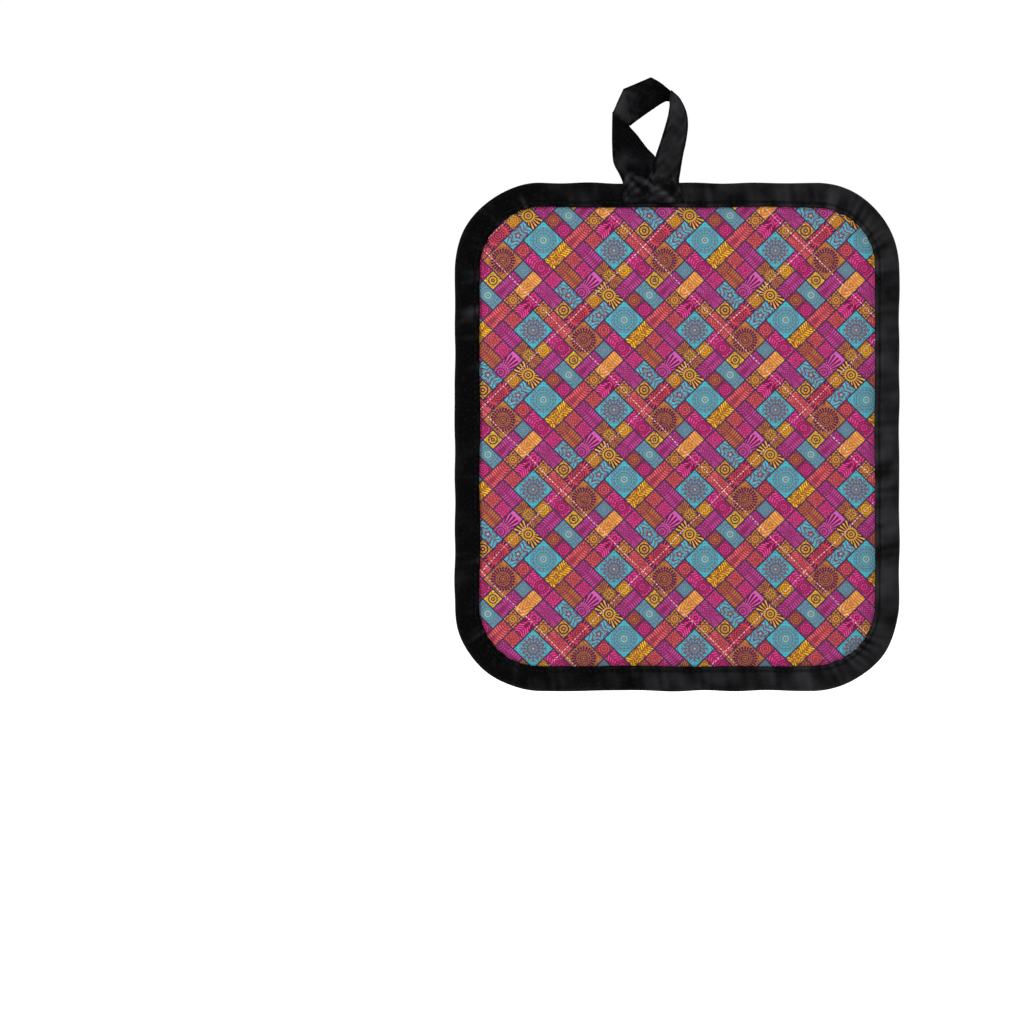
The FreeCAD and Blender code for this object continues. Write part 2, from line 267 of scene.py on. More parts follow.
def pad_half(x, z, face):
    """Half the pad's thickness at a place, front (0) or back (1): level under the bound edge, rising past its
    seam to the level of the rows, plus the swelling between rows, read smoothly from its grid, plus small
    ripples beside each row that die out with distance, and a slow unevenness."""
    falling, rising = across_rows(x, z)
    depth = depth_inside(x, z)
    place_i = falling / cell + cells_out
    place_j = rising / cell + cells_out
    first_i = np.floor(place_i).astype(int)
    first_j = np.floor(place_j).astype(int)
    shares_i = cubic_shares(place_i - first_i)
    shares_j = cubic_shares(place_j - first_j)
    swell = np.zeros(np.shape(x))
    for a, share_i in enumerate(shares_i):
        for b, share_j in enumerate(shares_j):
            swell = swell + share_i * share_j * swell_grid[face, first_i + a - 1, first_j + b - 1]
    rise = ease((depth - field_inset) / swell_run)
    swell = swell * ease((depth - field_inset) / swell_start_run)
    ripple = 0
    for across, along, seed in ((falling, rising, 11), (rising, falling, 12)):
        near = np.abs((across / row_pitch + 0.5) % 1 - 0.5) * row_pitch
        row_turn = along / ripple_run + ripple_row_shift * np.round(across / row_pitch)
        wave = wander(row_turn, *ripple_waves, seed + face)
        ripple = ripple + ripple_height * wave * np.exp(-((near / ripple_reach) ** 2))
    slow_x = wander(x / slow_run + z, *slow_waves_x, 21 + face)
    slow_z = wander(z / slow_rise, *slow_waves_z, 23 + face)
    slow = slow_height * slow_x * slow_z
    return edge_half + (row_half - edge_half + ripple + slow) * rise + swell


fibre_kept = grid_depth > fibre_inset
fibre_x, fibre_z = grid_x[fibre_kept], grid_z[fibre_kept]
fibre_fuzz = fuzz_height * np.random.default_rng(31).normal(size=(2, len(fibre_x)))
fibre_front = np.stack([fibre_x, fibre_gap - pad_half(fibre_x, fibre_z, 0) + fibre_fuzz[0], fibre_z], 1)
fibre_back = np.stack([fibre_x, pad_half(fibre_x, fibre_z, 1) - fibre_gap + fibre_fuzz[1], fibre_z], 1)
wadding = make_piece(
    "wadding_sheet",
    np.concatenate([fibre_front, fibre_back]),
    two_sided(kept_cells(fibre_kept), len(fibre_x)),
    np.concatenate([fibre_front, fibre_back])[:, ::2],
)


def linear(red, green, blue):
    """The shader's values of a colour given in 0 to 255 as seen: each over 255 and raised to about 2.2."""
    seen = np.array([red, green, blue]) / 255
    low = seen / 12.92
    high = ((seen + 0.055) / 1.055) ** 2.4
    return tuple(float(v) for v in np.where(seen <= 0.04045, low, high)) + (1.0,)


def new_finish(name, roughness, specular, sheen):
    """A material with one cloth shader, and its node tree and shader to build on."""
    finish = bpy.data.materials.new(name)
    finish.use_nodes = True
    tree = finish.node_tree
    shader = tree.nodes["Principled BSDF"]
    shader.inputs["Roughness"].default_value = roughness
    shader.inputs["Specular IOR Level"].default_value = specular
    shader.inputs["Sheen Weight"].default_value = sheen
    return finish, tree, shader


def add_node(tree, kind, settings=(), **sockets):
    """A node with its settings, and its input sockets, spaces written as underscores, given a value or a
    link."""
    node = tree.nodes.new(kind)
    for name, value in dict(settings).items():
        setattr(node, name, value)
    for name, value in sockets.items():
        socket = node.inputs[name.replace("_", " ")]
        if isinstance(value, bpy.types.NodeSocket):
            tree.links.new(value, socket)
        else:
            socket.default_value = value
    return node


def reckon(tree, operation, *values):
    """The result of one sum in a shader: a Math node on these values, each a number or another result."""
    node = tree.nodes.new("ShaderNodeMath")
    node.operation = operation
    for socket, value in zip(node.inputs, values):
        if isinstance(value, bpy.types.NodeSocket):
            tree.links.new(value, socket)
        else:
            socket.default_value = value
    return node.outputs[0]


def tint(tree, kind, share, first, second):
    """Two colours mixed in a shader: kind is the way of mixing and share the second one's part."""
    node = tree.nodes.new("ShaderNodeMix")
    node.data_type = "RGBA"
    node.blend_type = kind
    for place, value in ((0, share), (6, first), (7, second)):
        if isinstance(value, bpy.types.NodeSocket):
            tree.links.new(value, node.inputs[place])
        else:
            node.inputs[place].default_value = value
    return node.outputs[2]


def raise_bump(tree, shader, height, distance):
    """Feeds a height in a shader to its normal as bumps of that distance."""
    bump = add_node(tree, "ShaderNodeBump", Strength=1.0, Distance=distance, Height=height)
    tree.links.new(bump.outputs["Normal"], shader.inputs["Normal"])


def cloth_places(tree):
    """The cloth's own flat places in a shader."""
    return add_node(tree, "ShaderNodeUVMap", {"uv_map": "cloth"}).outputs["UV"]


def noise(tree, places, scale, detail, distortion=0.0):
    """Slow uneven values in a shader, with that many changes to a unit of place."""
    node = add_node(
        tree, "ShaderNodeTexNoise", Vector=places, Scale=scale, Detail=detail, Distortion=distortion
    )
    return node.outputs["Fac"]


def product(tree, first, *others):
    """All these values multiplied in a shader."""
    for other in others:
        first = reckon(tree, "MULTIPLY", first, other)
    return first


fibre_roughness = 0.95
fibre_gloss = 0.1
fibre_sheen = 0.3
fibre_lift = 0.0004
clump_scale = 160.0
hair_scale = 1500.0
hair_share = 0.5
hair_twist = 2.5
fibre_dull = linear(206, 200, 188)
fibre_pale = linear(238, 234, 226)
hair_tone = linear(190, 184, 176)
fibre_finish, tree, shader = new_finish("needled_fibre", fibre_roughness, fibre_gloss, fibre_sheen)
clumps = noise(tree, cloth_places(tree), clump_scale, 4.0)
hairs = noise(tree, cloth_places(tree), hair_scale, 3.0, hair_twist)
shade = tint(tree, "MIX", clumps, fibre_dull, fibre_pale)
shade = tint(tree, "MULTIPLY", product(tree, hairs, hair_share), shade, hair_tone)
tree.links.new(shade, shader.inputs["Base Color"])
raise_bump(tree, shader, hairs, fibre_lift)
wadding.data.materials.append(fibre_finish)


def bend_at_fold(piece):
    """Bakes the piece's place into its points, leaving its shape as built."""
    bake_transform(piece)


bend_at_fold(wadding)
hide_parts("wadding_upper", "wadding_lower")

# ---------------------------------------------------------------- front cover
# Printed plain-weave cotton, quilted to the wadding and cut with it. The print is a patchwork of small
# tiles set on the diagonal, each outlined in navy and filled with rings, rays, petals or dots.

cotton_thickness = 0.0005
cover_inset = 0.0012
cover_draw = 0.0007
tile_across = 0.004529
tile_up = 0.004469
print_x = -0.01944
print_z = -0.0991
print_unit = 4
repeat = 8
quads_per_unit = 6
ring_fade = (0.10, -0.35)
reach_fade = (0.02, -0.02)
dot_fade = (0.25, 0.55)
dot_reach_fade = (0.62, 0.55)
ray_fade = (-0.60, -0.25)
ray_taper = 0.30
ray_end_fade = 0.08
scribble_scale = 4.6
scribble_twist = 1.4
scribble_detail = 0.5
scribble_fade = (0.055, 0.025)
outline_fade = (0.060, 0.036)
heart_fade = (1.05, 0.55)
heart_share = 0.75
least_heart = 0.001
light_fade = (0.1, 1.0)
print_weave_scale = 4.3
print_weave_stray = 0.6
print_lift = 0.00012
print_roughness = 0.82
print_gloss = 0.12
print_sheen = 0.03

turquoise = linear(46, 166, 178)
teal = linear(64, 154, 168)
magenta = linear(206, 62, 130)
hot_pink = linear(218, 68, 136)
plum = linear(170, 68, 138)
orchid = linear(188, 84, 156)
coral = linear(212, 96, 82)
red = linear(198, 70, 68)
mustard = linear(208, 164, 26)
yellow = linear(230, 188, 18)
brown = linear(168, 106, 40)
orange = linear(228, 160, 76)
cyan = linear(36, 182, 196)
violet_ink = linear(72, 8, 58)
wine_ink = linear(104, 14, 58)
berry_ink = linear(107, 14, 54)
rust_ink = linear(128, 60, 38)
slate_ink = linear(92, 82, 100)
pale_heart = linear(130, 190, 180)
outline_navy = linear(42, 38, 66)
heart_light = linear(230, 226, 226)
corner_white = linear(255, 255, 255)

# A motif's numbers: how far its centre is moved along the tile; the petals round it and their depth; the
# rings' gap, reach and ink; the rays' count, start, end and ink; the dots' ink; the scribble's ink; the
# heart's radius. Lengths are in the print's units, and ink is from none, 0, to full, 1.
motifs = {
    "swirls": (0.0, 3, 0.30, 0.24, 1.3, 0.70, 1, 0.0, 0.0, 0.00, 0.50, 0.60, 0.00),
    "sun": (0.0, 12, 0.02, 0.17, 0.44, 0.90, 24, 0.48, 0.90, 1.00, 1.00, 0.80, 0.10),
    "mandala": (0.0, 8, 0.07, 0.20, 0.95, 0.90, 24, 0.66, 0.84, 0.80, 0.90, 0.40, 0.40),
    "snowflake": (0.0, 8, 0.14, 0.27, 0.90, 0.85, 16, 0.14, 0.82, 0.68, 0.80, 0.30, 0.24),
    "eye": (0.0, 10, 0.00, 0.20, 0.42, 1.00, 22, 0.42, 1.15, 1.00, 0.40, 0.35, 0.10),
    "end_spikes": (0.0, 8, 0.06, 0.17, 0.62, 0.95, 28, 0.74, 1.15, 1.00, 0.80, 0.30, 0.10),
    "fan": (-0.74, 7, 0.00, 0.20, 0.50, 0.95, 30, 0.58, 1.50, 1.00, 1.00, 0.30, 0.00),
    "arcs": (-0.95, 5, 0.02, 0.18, 2.2, 0.90, 18, 0.5, 0.9, 0.70, 0.80, 0.50, 0.00),
    "far_arcs": (0.95, 4, 0.03, 0.18, 2.2, 0.90, 16, 1.2, 1.8, 0.75, 0.80, 0.50, 0.00),
    "flower": (0.0, 8, 0.16, 0.20, 0.50, 1.00, 8, 0.36, 0.56, 0.90, 0.75, 0.20, 0.16),
    "target": (0.0, 4, 0.00, 0.23, 0.56, 1.00, 8, 0.0, 0.0, 0.00, 0.70, 0.60, 0.08),
    "little_sun": (0.0, 12, 0.07, 0.20, 0.46, 1.00, 12, 0.0, 0.0, 0.00, 0.60, 0.90, 0.10),
    "centre": (0.0, 6, 0.08, 0.17, 0.52, 0.95, 8, 0.36, 0.60, 0.75, 0.90, 0.50, 0.08),
    "blotches": (0.0, 5, 0.25, 0.32, 0.95, 0.90, 12, 0.0, 0.0, 0.00, 0.60, 0.90, 0.16),
    "petals": (0.60, 6, 0.22, 0.24, 1.6, 1.00, 12, 0.45, 1.00, 1.00, 0.60, 0.40, 0.00),
    "leaves": (-0.25, 4, 0.34, 0.26, 1.3, 1.00, 8, 0.0, 0.0, 0.00, 1.00, 1.00, 0.00),
    "steps": (0.0, 4, 0.40, 0.24, 1.3, 0.90, 4, 0.0, 0.0, 0.00, 0.60, 0.50, 0.45),
    "beads": (0.30, 7, 0.05, 0.19, 1.6, 0.90, 16, 0.30, 0.50, 0.90, 1.00, 0.45, 0.00),
    "quiet": (0.0, 5, 0.16, 0.17, 1.2, 0.85, 8, 0.0, 0.0, 0.00, 0.90, 0.70, 0.00),
}

# The tiles of one repeat, each with its first unit down the fall and up the rise, its units each way, its
# motif, its ground, ink and heart colours.
tiles = (
    (0, 0, 2, 1, "quiet", coral, wine_ink, red),
    (2, 0, 2, 2, "sun", brown, violet_ink, orange),
    (5, 0, 1, 2, "swirls", orange, rust_ink, yellow),
    (7, 0, 1, 1, "flower", mustard, wine_ink, yellow),
    (0, 1, 1, 1, "target", mustard, violet_ink, yellow),
    (1, 1, 1, 2, "end_spikes", red, violet_ink, coral),
    (4, 1, 1, 1, "centre", teal, slate_ink, pale_heart),
    (6, 1, 2, 1, "quiet", plum, wine_ink, orchid),
    (2, 2, 1, 2, "blotches", cyan, berry_ink, pale_heart),
    (3, 2, 1, 1, "centre", coral, wine_ink, red),
    (4, 2, 2, 1, "beads", magenta, wine_ink, hot_pink),
    (6, 2, 1, 1, "quiet", hot_pink, wine_ink, magenta),
    (7, 2, 2, 1, "blotches", cyan, berry_ink, pale_heart),
    (0, 3, 1, 2, "fan", orchid, wine_ink, plum),
    (1, 3, 1, 1, "centre", mustard, rust_ink, yellow),
    (3, 3, 2, 2, "mandala", turquoise, slate_ink, pale_heart),
    (5, 3, 1, 2, "leaves", yellow, rust_ink, mustard),
    (6, 3, 2, 1, "arcs", brown, wine_ink, mustard),
    (1, 4, 2, 1, "eye", mustard, violet_ink, yellow),
    (6, 4, 1, 1, "quiet", coral, wine_ink, red),
    (7, 4, 1, 1, "quiet", hot_pink, wine_ink, magenta),
    (0, 5, 2, 1, "steps", brown, violet_ink, mustard),
    (2, 5, 1, 2, "arcs", plum, wine_ink, orchid),
    (3, 5, 1, 1, "centre", brown, wine_ink, yellow),
    (4, 5, 1, 1, "centre", magenta, wine_ink, hot_pink),
    (5, 5, 1, 2, "far_arcs", coral, wine_ink, red),
    (6, 5, 2, 1, "arcs", plum, wine_ink, orchid),
    (1, 6, 1, 1, "centre", yellow, rust_ink, mustard),
    (3, 6, 2, 1, "mandala", teal, slate_ink, pale_heart),
    (6, 6, 1, 1, "quiet", coral, wine_ink, red),
    (7, 6, 2, 2, "snowflake", turquoise, berry_ink, pale_heart),
    (1, 7, 2, 1, "beads", magenta, wine_ink, hot_pink),
    (3, 7, 1, 1, "little_sun", yellow, violet_ink, mustard),
    (4, 7, 1, 2, "far_arcs", plum, wine_ink, orchid),
    (5, 7, 1, 1, "flower", mustard, wine_ink, yellow),
    (6, 7, 1, 2, "petals", hot_pink, wine_ink, magenta),
)


def print_place(fall, rise):
    """The place in the pad's plane of a point of the print, given in units down the fall and up the rise."""
    x = print_x + (fall + rise - 2 * print_unit) * tile_across
    z = print_z + (rise - fall) * tile_up
    return x, z


def pulled_in(x, z, inset):
    """Points past a line that far inside the cut edge are drawn back to it, along the way in which the depth
    grows."""
    short = np.maximum(inset - depth_inside(x, z), 0)
    nudge = 1e-5
    slope_x = (depth_inside(x + nudge, z) - depth_inside(x - nudge, z)) / (2 * nudge)
    slope_z = (depth_inside(x, z + nudge) - depth_inside(x, z - nudge)) / (2 * nudge)
    return x + slope_x * short, z + slope_z * short


def cover_points(x, z, face):
    """Outer and inner points of a cover: half the pad's thickness out, and a cloth's thickness less."""
    side = 1 if face else -1
    half = pad_half(x, z, face)
    outer = np.stack([x, side * half, z], 1)
    inner = np.stack([x, side * (half - cotton_thickness), z], 1)
    return np.concatenate([outer, inner])


reach_x = (half_width + abs(middle_x - print_x)) / tile_across
reach_z = (half_height + abs(middle_z - print_z)) / tile_up
print_reach = int((reach_x + reach_z) / 2) + 2
quads_out = print_reach * quads_per_unit
units = np.arange(-quads_out, quads_out + 1) / quads_per_unit + print_unit
fall, rise = np.meshgrid(units, units, indexing="ij")
weave_x, weave_z = print_place(fall, rise)
weave_depth = depth_inside(weave_x, weave_z)
print_kept = weave_depth > cover_inset - cover_draw
print_places = np.stack([fall[print_kept], rise[print_kept]], 1)
cut_x, cut_z = pulled_in(weave_x[print_kept], weave_z[print_kept], cover_inset)
cover = make_piece(
    "printed_cover",
    cover_points(cut_x, cut_z, 0),
    two_sided(kept_cells(print_kept), len(cut_x)),
    np.concatenate([print_places, print_places]),
)


def tile_facts(piece):
    """Writes on each face the numbers of the tile it belongs to. The whole unit under the face's middle, less
    whole repeats, finds the tile, and the tile's half size less that unit's place in it finds its middle.
    A tile's numbers are its half sizes, whether it lies along the rise, its motif's thirteen and its ground,
    ink and heart colours."""
    owner = np.zeros((repeat, repeat), int)
    into = np.zeros((repeat, repeat, 2))
    numbers = []
    for first_fall, first_rise, falls, rises, motif, ground, ink, heart in tiles:
        for a in range(falls):
            for b in range(rises):
                spot = (first_fall + a) % repeat, (first_rise + b) % repeat
                owner[spot] = len(numbers)
                into[spot] = (falls / 2 - a, rises / 2 - b)
        halves = (max(falls, rises) / 2, min(falls, rises) / 2)
        numbers.append([*halves, rises > falls, *motifs[motif], *ground[:3], *ink[:3], *heart[:3]])
    mesh = piece.data
    flat = np.zeros(len(mesh.loops) * 2, np.float32)
    mesh.uv_layers["cloth"].uv.foreach_get("vector", flat)
    middle = flat.reshape(-1, 4, 2).mean(1)
    unit = np.floor(middle).astype(int)
    which = owner[unit[:, 0] % repeat, unit[:, 1] % repeat]
    centre = unit + into[unit[:, 0] % repeat, unit[:, 1] % repeat]
    mine = np.array(numbers, float)[which]
    facts = {
        "tile_middle": np.column_stack([centre, mine[:, 2]]),
        "tile_half": np.column_stack([mine[:, 0:2], mine[:, 3]]),
        "tile_petals": np.column_stack([mine[:, 4:6], mine[:, 13]]),
        "tile_rings": mine[:, 6:9],
        "tile_rays": mine[:, 9:12],
        "tile_marks": np.column_stack([mine[:, 12], mine[:, 14:16]]),
        "tile_ground": mine[:, 16:19],
        "tile_ink": mine[:, 19:22],
        "tile_heart": mine[:, 22:25],
    }
    for name, values in facts.items():
        attribute = mesh.attributes.new(name, "FLOAT_VECTOR", "FACE")
        attribute.data.foreach_set("vector", values.astype(np.float32).ravel())


tile_facts(cover)


def parts(tree, vector):
    """The three numbers of a vector in a shader."""
    return add_node(tree, "ShaderNodeSeparateXYZ", Vector=vector).outputs[:]


def fact(tree, name):
    """A tile's vector of numbers in a shader."""
    return add_node(tree, "ShaderNodeAttribute", {"attribute_name": name}).outputs["Vector"]


def slope(tree, value, low, high):
    """A smooth mask in a shader: nought at low and beyond, one at high and beyond, whichever is greater."""
    node = add_node(tree, "ShaderNodeMapRange", {"interpolation_type": "SMOOTHSTEP"}, Value=value)
    turned_round = low > high
    node.inputs["From Min"].default_value = min(low, high)
    node.inputs["From Max"].default_value = max(low, high)
    node.inputs["To Min"].default_value = 1.0 if turned_round else 0.0
    node.inputs["To Max"].default_value = 0.0 if turned_round else 1.0
    return node.outputs["Result"]


def weave(tree, places, scale, distortion, join):
    """Two sets of fine waves that cross in a shader, joined by one sum: the height of woven threads."""
    waves = []
    for direction in "XY":
        bands = {"bands_direction": direction}
        node = add_node(tree, "ShaderNodeTexWave", bands, Vector=places, Scale=scale, Distortion=distortion)
        waves.append(node.outputs["Fac"])
    return reckon(tree, join, *waves)


print_finish, tree, shader = new_finish("patchwork_print", print_roughness, print_gloss, print_sheen)
places = cloth_places(tree)
place_u, place_v, _ = parts(tree, places)
middle_u, middle_v, turned = parts(tree, fact(tree, "tile_middle"))
half_long, half_short, shift = parts(tree, fact(tree, "tile_half"))
petal_count, petal_depth, dot_ink = parts(tree, fact(tree, "tile_petals"))
ring_gap, ring_reach, ring_ink = parts(tree, fact(tree, "tile_rings"))
ray_count, ray_start, ray_end = parts(tree, fact(tree, "tile_rays"))
ray_ink, scribble_ink, heart_radius = parts(tree, fact(tree, "tile_marks"))
off_u = reckon(tree, "SUBTRACT", place_u, middle_u)
off_v = reckon(tree, "SUBTRACT", place_v, middle_v)
swap = product(tree, reckon(tree, "SUBTRACT", off_v, off_u), turned)
along = reckon(tree, "ADD", off_u, swap)
across = reckon(tree, "SUBTRACT", off_v, swap)
from_heart = reckon(tree, "SUBTRACT", along, shift)
squares = reckon(tree, "ADD", reckon(tree, "POWER", from_heart, 2.0), reckon(tree, "POWER", across, 2.0))
radius = reckon(tree, "SQRT", squares)
angle = reckon(tree, "ARCTAN2", across, from_heart)
petal = product(tree, reckon(tree, "COSINE", product(tree, angle, petal_count)), petal_depth)
bent_radius = product(tree, radius, reckon(tree, "ADD", petal, 1.0))
ring_turn = reckon(tree, "DIVIDE", bent_radius, ring_gap)
ring_wave = reckon(tree, "COSINE", product(tree, ring_turn, 2 * np.pi))
past_rings = reckon(tree, "SUBTRACT", radius, ring_reach)
rings = product(tree, slope(tree, ring_wave, *ring_fade), slope(tree, past_rings, *reach_fade), ring_ink)
dot_wave = reckon(tree, "COSINE", product(tree, angle, petal_count, 2.0))
dot_line = slope(tree, product(tree, dot_wave, ring_wave), *dot_fade)
dots = product(tree, dot_line, slope(tree, past_rings, *dot_reach_fade), dot_ink)
ray_wave = reckon(tree, "COSINE", product(tree, angle, ray_count))
ray_run = reckon(tree, "SUBTRACT", ray_end, ray_start)
ray_part = reckon(tree, "DIVIDE", reckon(tree, "SUBTRACT", radius, ray_start), ray_run)
ray_edge = reckon(tree, "SUBTRACT", ray_wave, product(tree, ray_part, ray_taper))
ray_foot = slope(tree, ray_part, 0.0, ray_end_fade)
ray_tip = slope(tree, ray_part, 1.0, 1.0 - ray_end_fade)
rays = product(tree, slope(tree, ray_edge, *ray_fade), ray_foot, ray_tip, ray_ink)
scribble = reckon(tree, "SUBTRACT", noise(tree, places, scribble_scale, scribble_detail, scribble_twist), 0.5)
scribbles = product(tree, slope(tree, reckon(tree, "ABSOLUTE", scribble), *scribble_fade), scribble_ink)
ink = reckon(tree, "MAXIMUM", reckon(tree, "MAXIMUM", rings, dots), reckon(tree, "MAXIMUM", rays, scribbles))
to_long_edge = reckon(tree, "SUBTRACT", half_long, reckon(tree, "ABSOLUTE", along))
to_short_edge = reckon(tree, "SUBTRACT", half_short, reckon(tree, "ABSOLUTE", across))
to_edge = reckon(tree, "MINIMUM", to_long_edge, to_short_edge)
outline = slope(tree, to_edge, *outline_fade)
corner_light = slope(tree, radius, *light_fade)
lighting = tint(tree, "MIX", corner_light, heart_light, corner_white)
ground = tint(tree, "MULTIPLY", 1.0, fact(tree, "tile_ground"), lighting)
heart_part = reckon(tree, "DIVIDE", radius, reckon(tree, "MAXIMUM", heart_radius, least_heart))
heart = product(tree, slope(tree, heart_part, *heart_fade), heart_share)
shade = tint(tree, "MIX", heart, ground, fact(tree, "tile_heart"))
shade = tint(tree, "MIX", ink, shade, fact(tree, "tile_ink"))
shade = tint(tree, "MIX", outline, shade, outline_navy)
tree.links.new(shade, shader.inputs["Base Color"])
print_threads = weave(tree, places, print_weave_scale, print_weave_stray, "MULTIPLY")
raise_bump(tree, shader, print_threads, print_lift)
cover.data.materials.append(print_finish)
bend_at_fold(cover)
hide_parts("front_cover")

# ---------------------------------------------------------------- back cover
# Plain black cotton, the same cut as the front cover and quilted with it, so it swells between the same rows.
# Its swells are painted a little paler and the sewn rows between them darker: painted light and shade, along
# with a little rubbing.

back_cells = 38
back_draw = 0.0009
back_thread = 0.00045
back_lift = 0.00014
back_gloss = 0.08
# The back's black, and the paler colour that painted light on its swells, real rubbing and lint mix in.
back_tone = linear(14, 14, 15)
back_lit_and_worn = linear(27, 27, 29)
gap_tone = linear(4, 4, 5)
gap_share = 0.5
lint_share = 0.16
black_roughness = 0.80
cloud_scale = 70.0
lint_scale = 900.0
lint_fade = (0.55, 0.75)
lint_lift = 0.5
gap_fade = (0.6, 0.2)
thread_stray = 0.8
bands_to_a_wave = 10
back_step = row_pitch / back_cells
back_out = int(np.hypot(half_width, half_height) / back_step) + 2
back_line = np.arange(-back_out, back_out + 1) * back_step
back_falling, back_rising = np.meshgrid(back_line, back_line, indexing="ij")
back_x, back_z = from_rows(back_falling, back_rising)
back_kept = depth_inside(back_x, back_z) > cover_inset - back_draw
back_places = np.stack([back_falling[back_kept], back_rising[back_kept]], 1)
back_cut_x, back_cut_z = pulled_in(back_x[back_kept], back_z[back_kept], cover_inset)
back_cover = make_piece(
    "black_back_cover",
    cover_points(back_cut_x, back_cut_z, 1),
    two_sided(kept_cells(back_kept)[:, ::-1], len(back_cut_x)),
    np.concatenate([back_places, back_places]),
)


def light_and_wear(piece, values):
    """Writes on each point of a piece how pale it is painted, from 0, painted shade in a fold, to 1, a
    painted highlight on a ridge, with some real rubbing mixed in.
    """
    attribute = piece.data.attributes.new("light_and_wear", "FLOAT", "POINT")
    attribute.data.foreach_set("value", np.clip(values, 0, 1).astype(np.float32).ravel())


def black_cloth(name, thread, tone, lit_and_worn, lift, gloss):
    """A black woven finish: two fine sets of threads crossing make small bumps, slow noise makes the black
    uneven, and raised threads and lint are paler. The painted light and shade written on each point, with
    some real wear, makes lit ridges paler and shaded folds blacker. thread is the width of one thread in
    metres."""
    finish, tree, shader = new_finish(name, black_roughness, gloss, 0.0)
    places = cloth_places(tree)
    threads = weave(tree, places, np.pi / bands_to_a_wave / thread, thread_stray, "MAXIMUM")
    cloud = noise(tree, places, cloud_scale, 3.0)
    lint = noise(tree, places, lint_scale, 2.0)
    # Painted light and shade: the point's painted paleness, with real wear, mixes the black towards the paler
    # colour.
    lit_and_rubbed = add_node(tree, "ShaderNodeAttribute", {"attribute_name": "light_and_wear"}).outputs["Fac"]
    uneven = reckon(tree, "ADD", lit_and_rubbed, reckon(tree, "SUBTRACT", cloud, 0.5))
    lint_mask = product(tree, slope(tree, lint, *lint_fade), lint_share)
    gap_mask = product(tree, slope(tree, threads, *gap_fade), gap_share)
    shade = tint(tree, "MIX", slope(tree, uneven, 0.0, 1.0), tone, lit_and_worn)
    shade = tint(tree, "MIX", lint_mask, shade, lit_and_worn)
    shade = tint(tree, "MIX", gap_mask, shade, gap_tone)
    tree.links.new(shade, shader.inputs["Base Color"])
    raise_bump(tree, shader, reckon(tree, "ADD", threads, product(tree, lint, lint_lift)), lift)
    return finish


# Painted light and shade: each point is painted paler by how far the back swells out, so the swells look lit
# and the sewn rows shaded, with a little rubbing.
back_swell = (pad_half(back_cut_x, back_cut_z, 1) - row_half) / swell_height
light_and_wear(back_cover, np.concatenate([back_swell, back_swell]))
back_finish = black_cloth("black_cotton", back_thread, back_tone, back_lit_and_worn, back_lift, back_gloss)
back_cover.data.materials.append(back_finish)
bend_at_fold(back_cover)
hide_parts("back_cover")

# ---------------------------------------------------------------- quilting
# Two sets of lockstitched rows cross the pad on the diagonals and hold covers and wadding together. The
# needle thread on the front is pale polyester, and the bobbin thread on the back is black.

stitch_pitch = 0.00164
stitch_length = 0.00124
stitch_radius = 0.00020
stitch_rings = 7
stitch_sides = 8
stitch_sink = 1.6
stitch_rest = 0.35
stitch_flatness = 0.8
stitch_end = 0.06
stitch_fullness = 0.6
stitch_uv_step = 0.01
quilt_margin = 0.0112
rows_out = 4
row_stray = 0.00022
stray_run = 0.4
stray_waves = (5, 16)
stray_row_shift = 3
thread_roughness = 0.6
twist_scale = 900.0
twist_share = 0.35
twist_lift = 0.00005
dull_scale = 35.0
dull_fade = (0.35, 0.65)
twist_tone = linear(150, 140, 146)
needle_tone = linear(244, 216, 224)
needle_dull = linear(200, 132, 156)
needle_gloss = 0.3
bobbin_tone = linear(12, 12, 13)
bobbin_dull = linear(8, 8, 9)
bobbin_gloss = 0.06


def stitches(name, x, z, way_x, way_z, surface, side, length, thickness):
    """Short stitches as spindles, all from one small mesh of rings: a ring's radius is a power of a sine
    along the stitch, its centre dips into the cloth at both ends, and each copy is turned to its row."""
    ring_part = np.linspace(0, 1, stitch_rings)
    ring_angle = np.arange(stitch_sides) / stitch_sides * 2 * np.pi
    swell = np.sin(np.pi * (stitch_end + (1 - 2 * stitch_end) * ring_part))[:, None] ** stitch_fullness
    along = (ring_part - 0.5)[:, None] * length * np.ones(stitch_sides)
    sideways = thickness * swell * np.cos(ring_angle)
    upwards = thickness * swell * np.sin(ring_angle) * stitch_flatness - thickness * stitch_sink * (1 - swell)
    along, sideways, upwards = (a.ravel() for a in (along, sideways, upwards))
    points = np.stack([
        x[:, None] + way_x[:, None] * along - way_z[:, None] * sideways,
        side * (surface[:, None] + stitch_rest * thickness + upwards),
        z[:, None] + way_z[:, None] * along + way_x[:, None] * sideways,
    ], -1)
    ring, spoke = np.meshgrid(np.arange(stitch_rings - 1), np.arange(stitch_sides), indexing="ij")
    first = ring * stitch_sides + spoke
    second = ring * stitch_sides + (spoke + 1) % stitch_sides
    faces = np.stack([first, second, second + stitch_sides, first + stitch_sides], -1).reshape(-1, 4)
    fan = np.arange(1, stitch_sides - 1, 2)
    start_end = np.stack([0 * fan, fan + 2, fan + 1, fan], 1)
    far_end = np.stack([0 * fan, fan, fan + 1, fan + 2], 1) + (stitch_rings - 1) * stitch_sides
    faces = np.concatenate([faces, start_end, far_end])
    if side < 0:
        faces = faces[:, ::-1]
    copies = np.arange(len(x))[:, None]
    places = np.stack(np.broadcast_arrays(along + stitch_uv_step * copies, sideways), -1)
    all_faces = faces + copies[..., None] * len(along)
    return make_piece(name, points.reshape(-1, 3), all_faces.reshape(-1, 4), places.reshape(-1, 2))


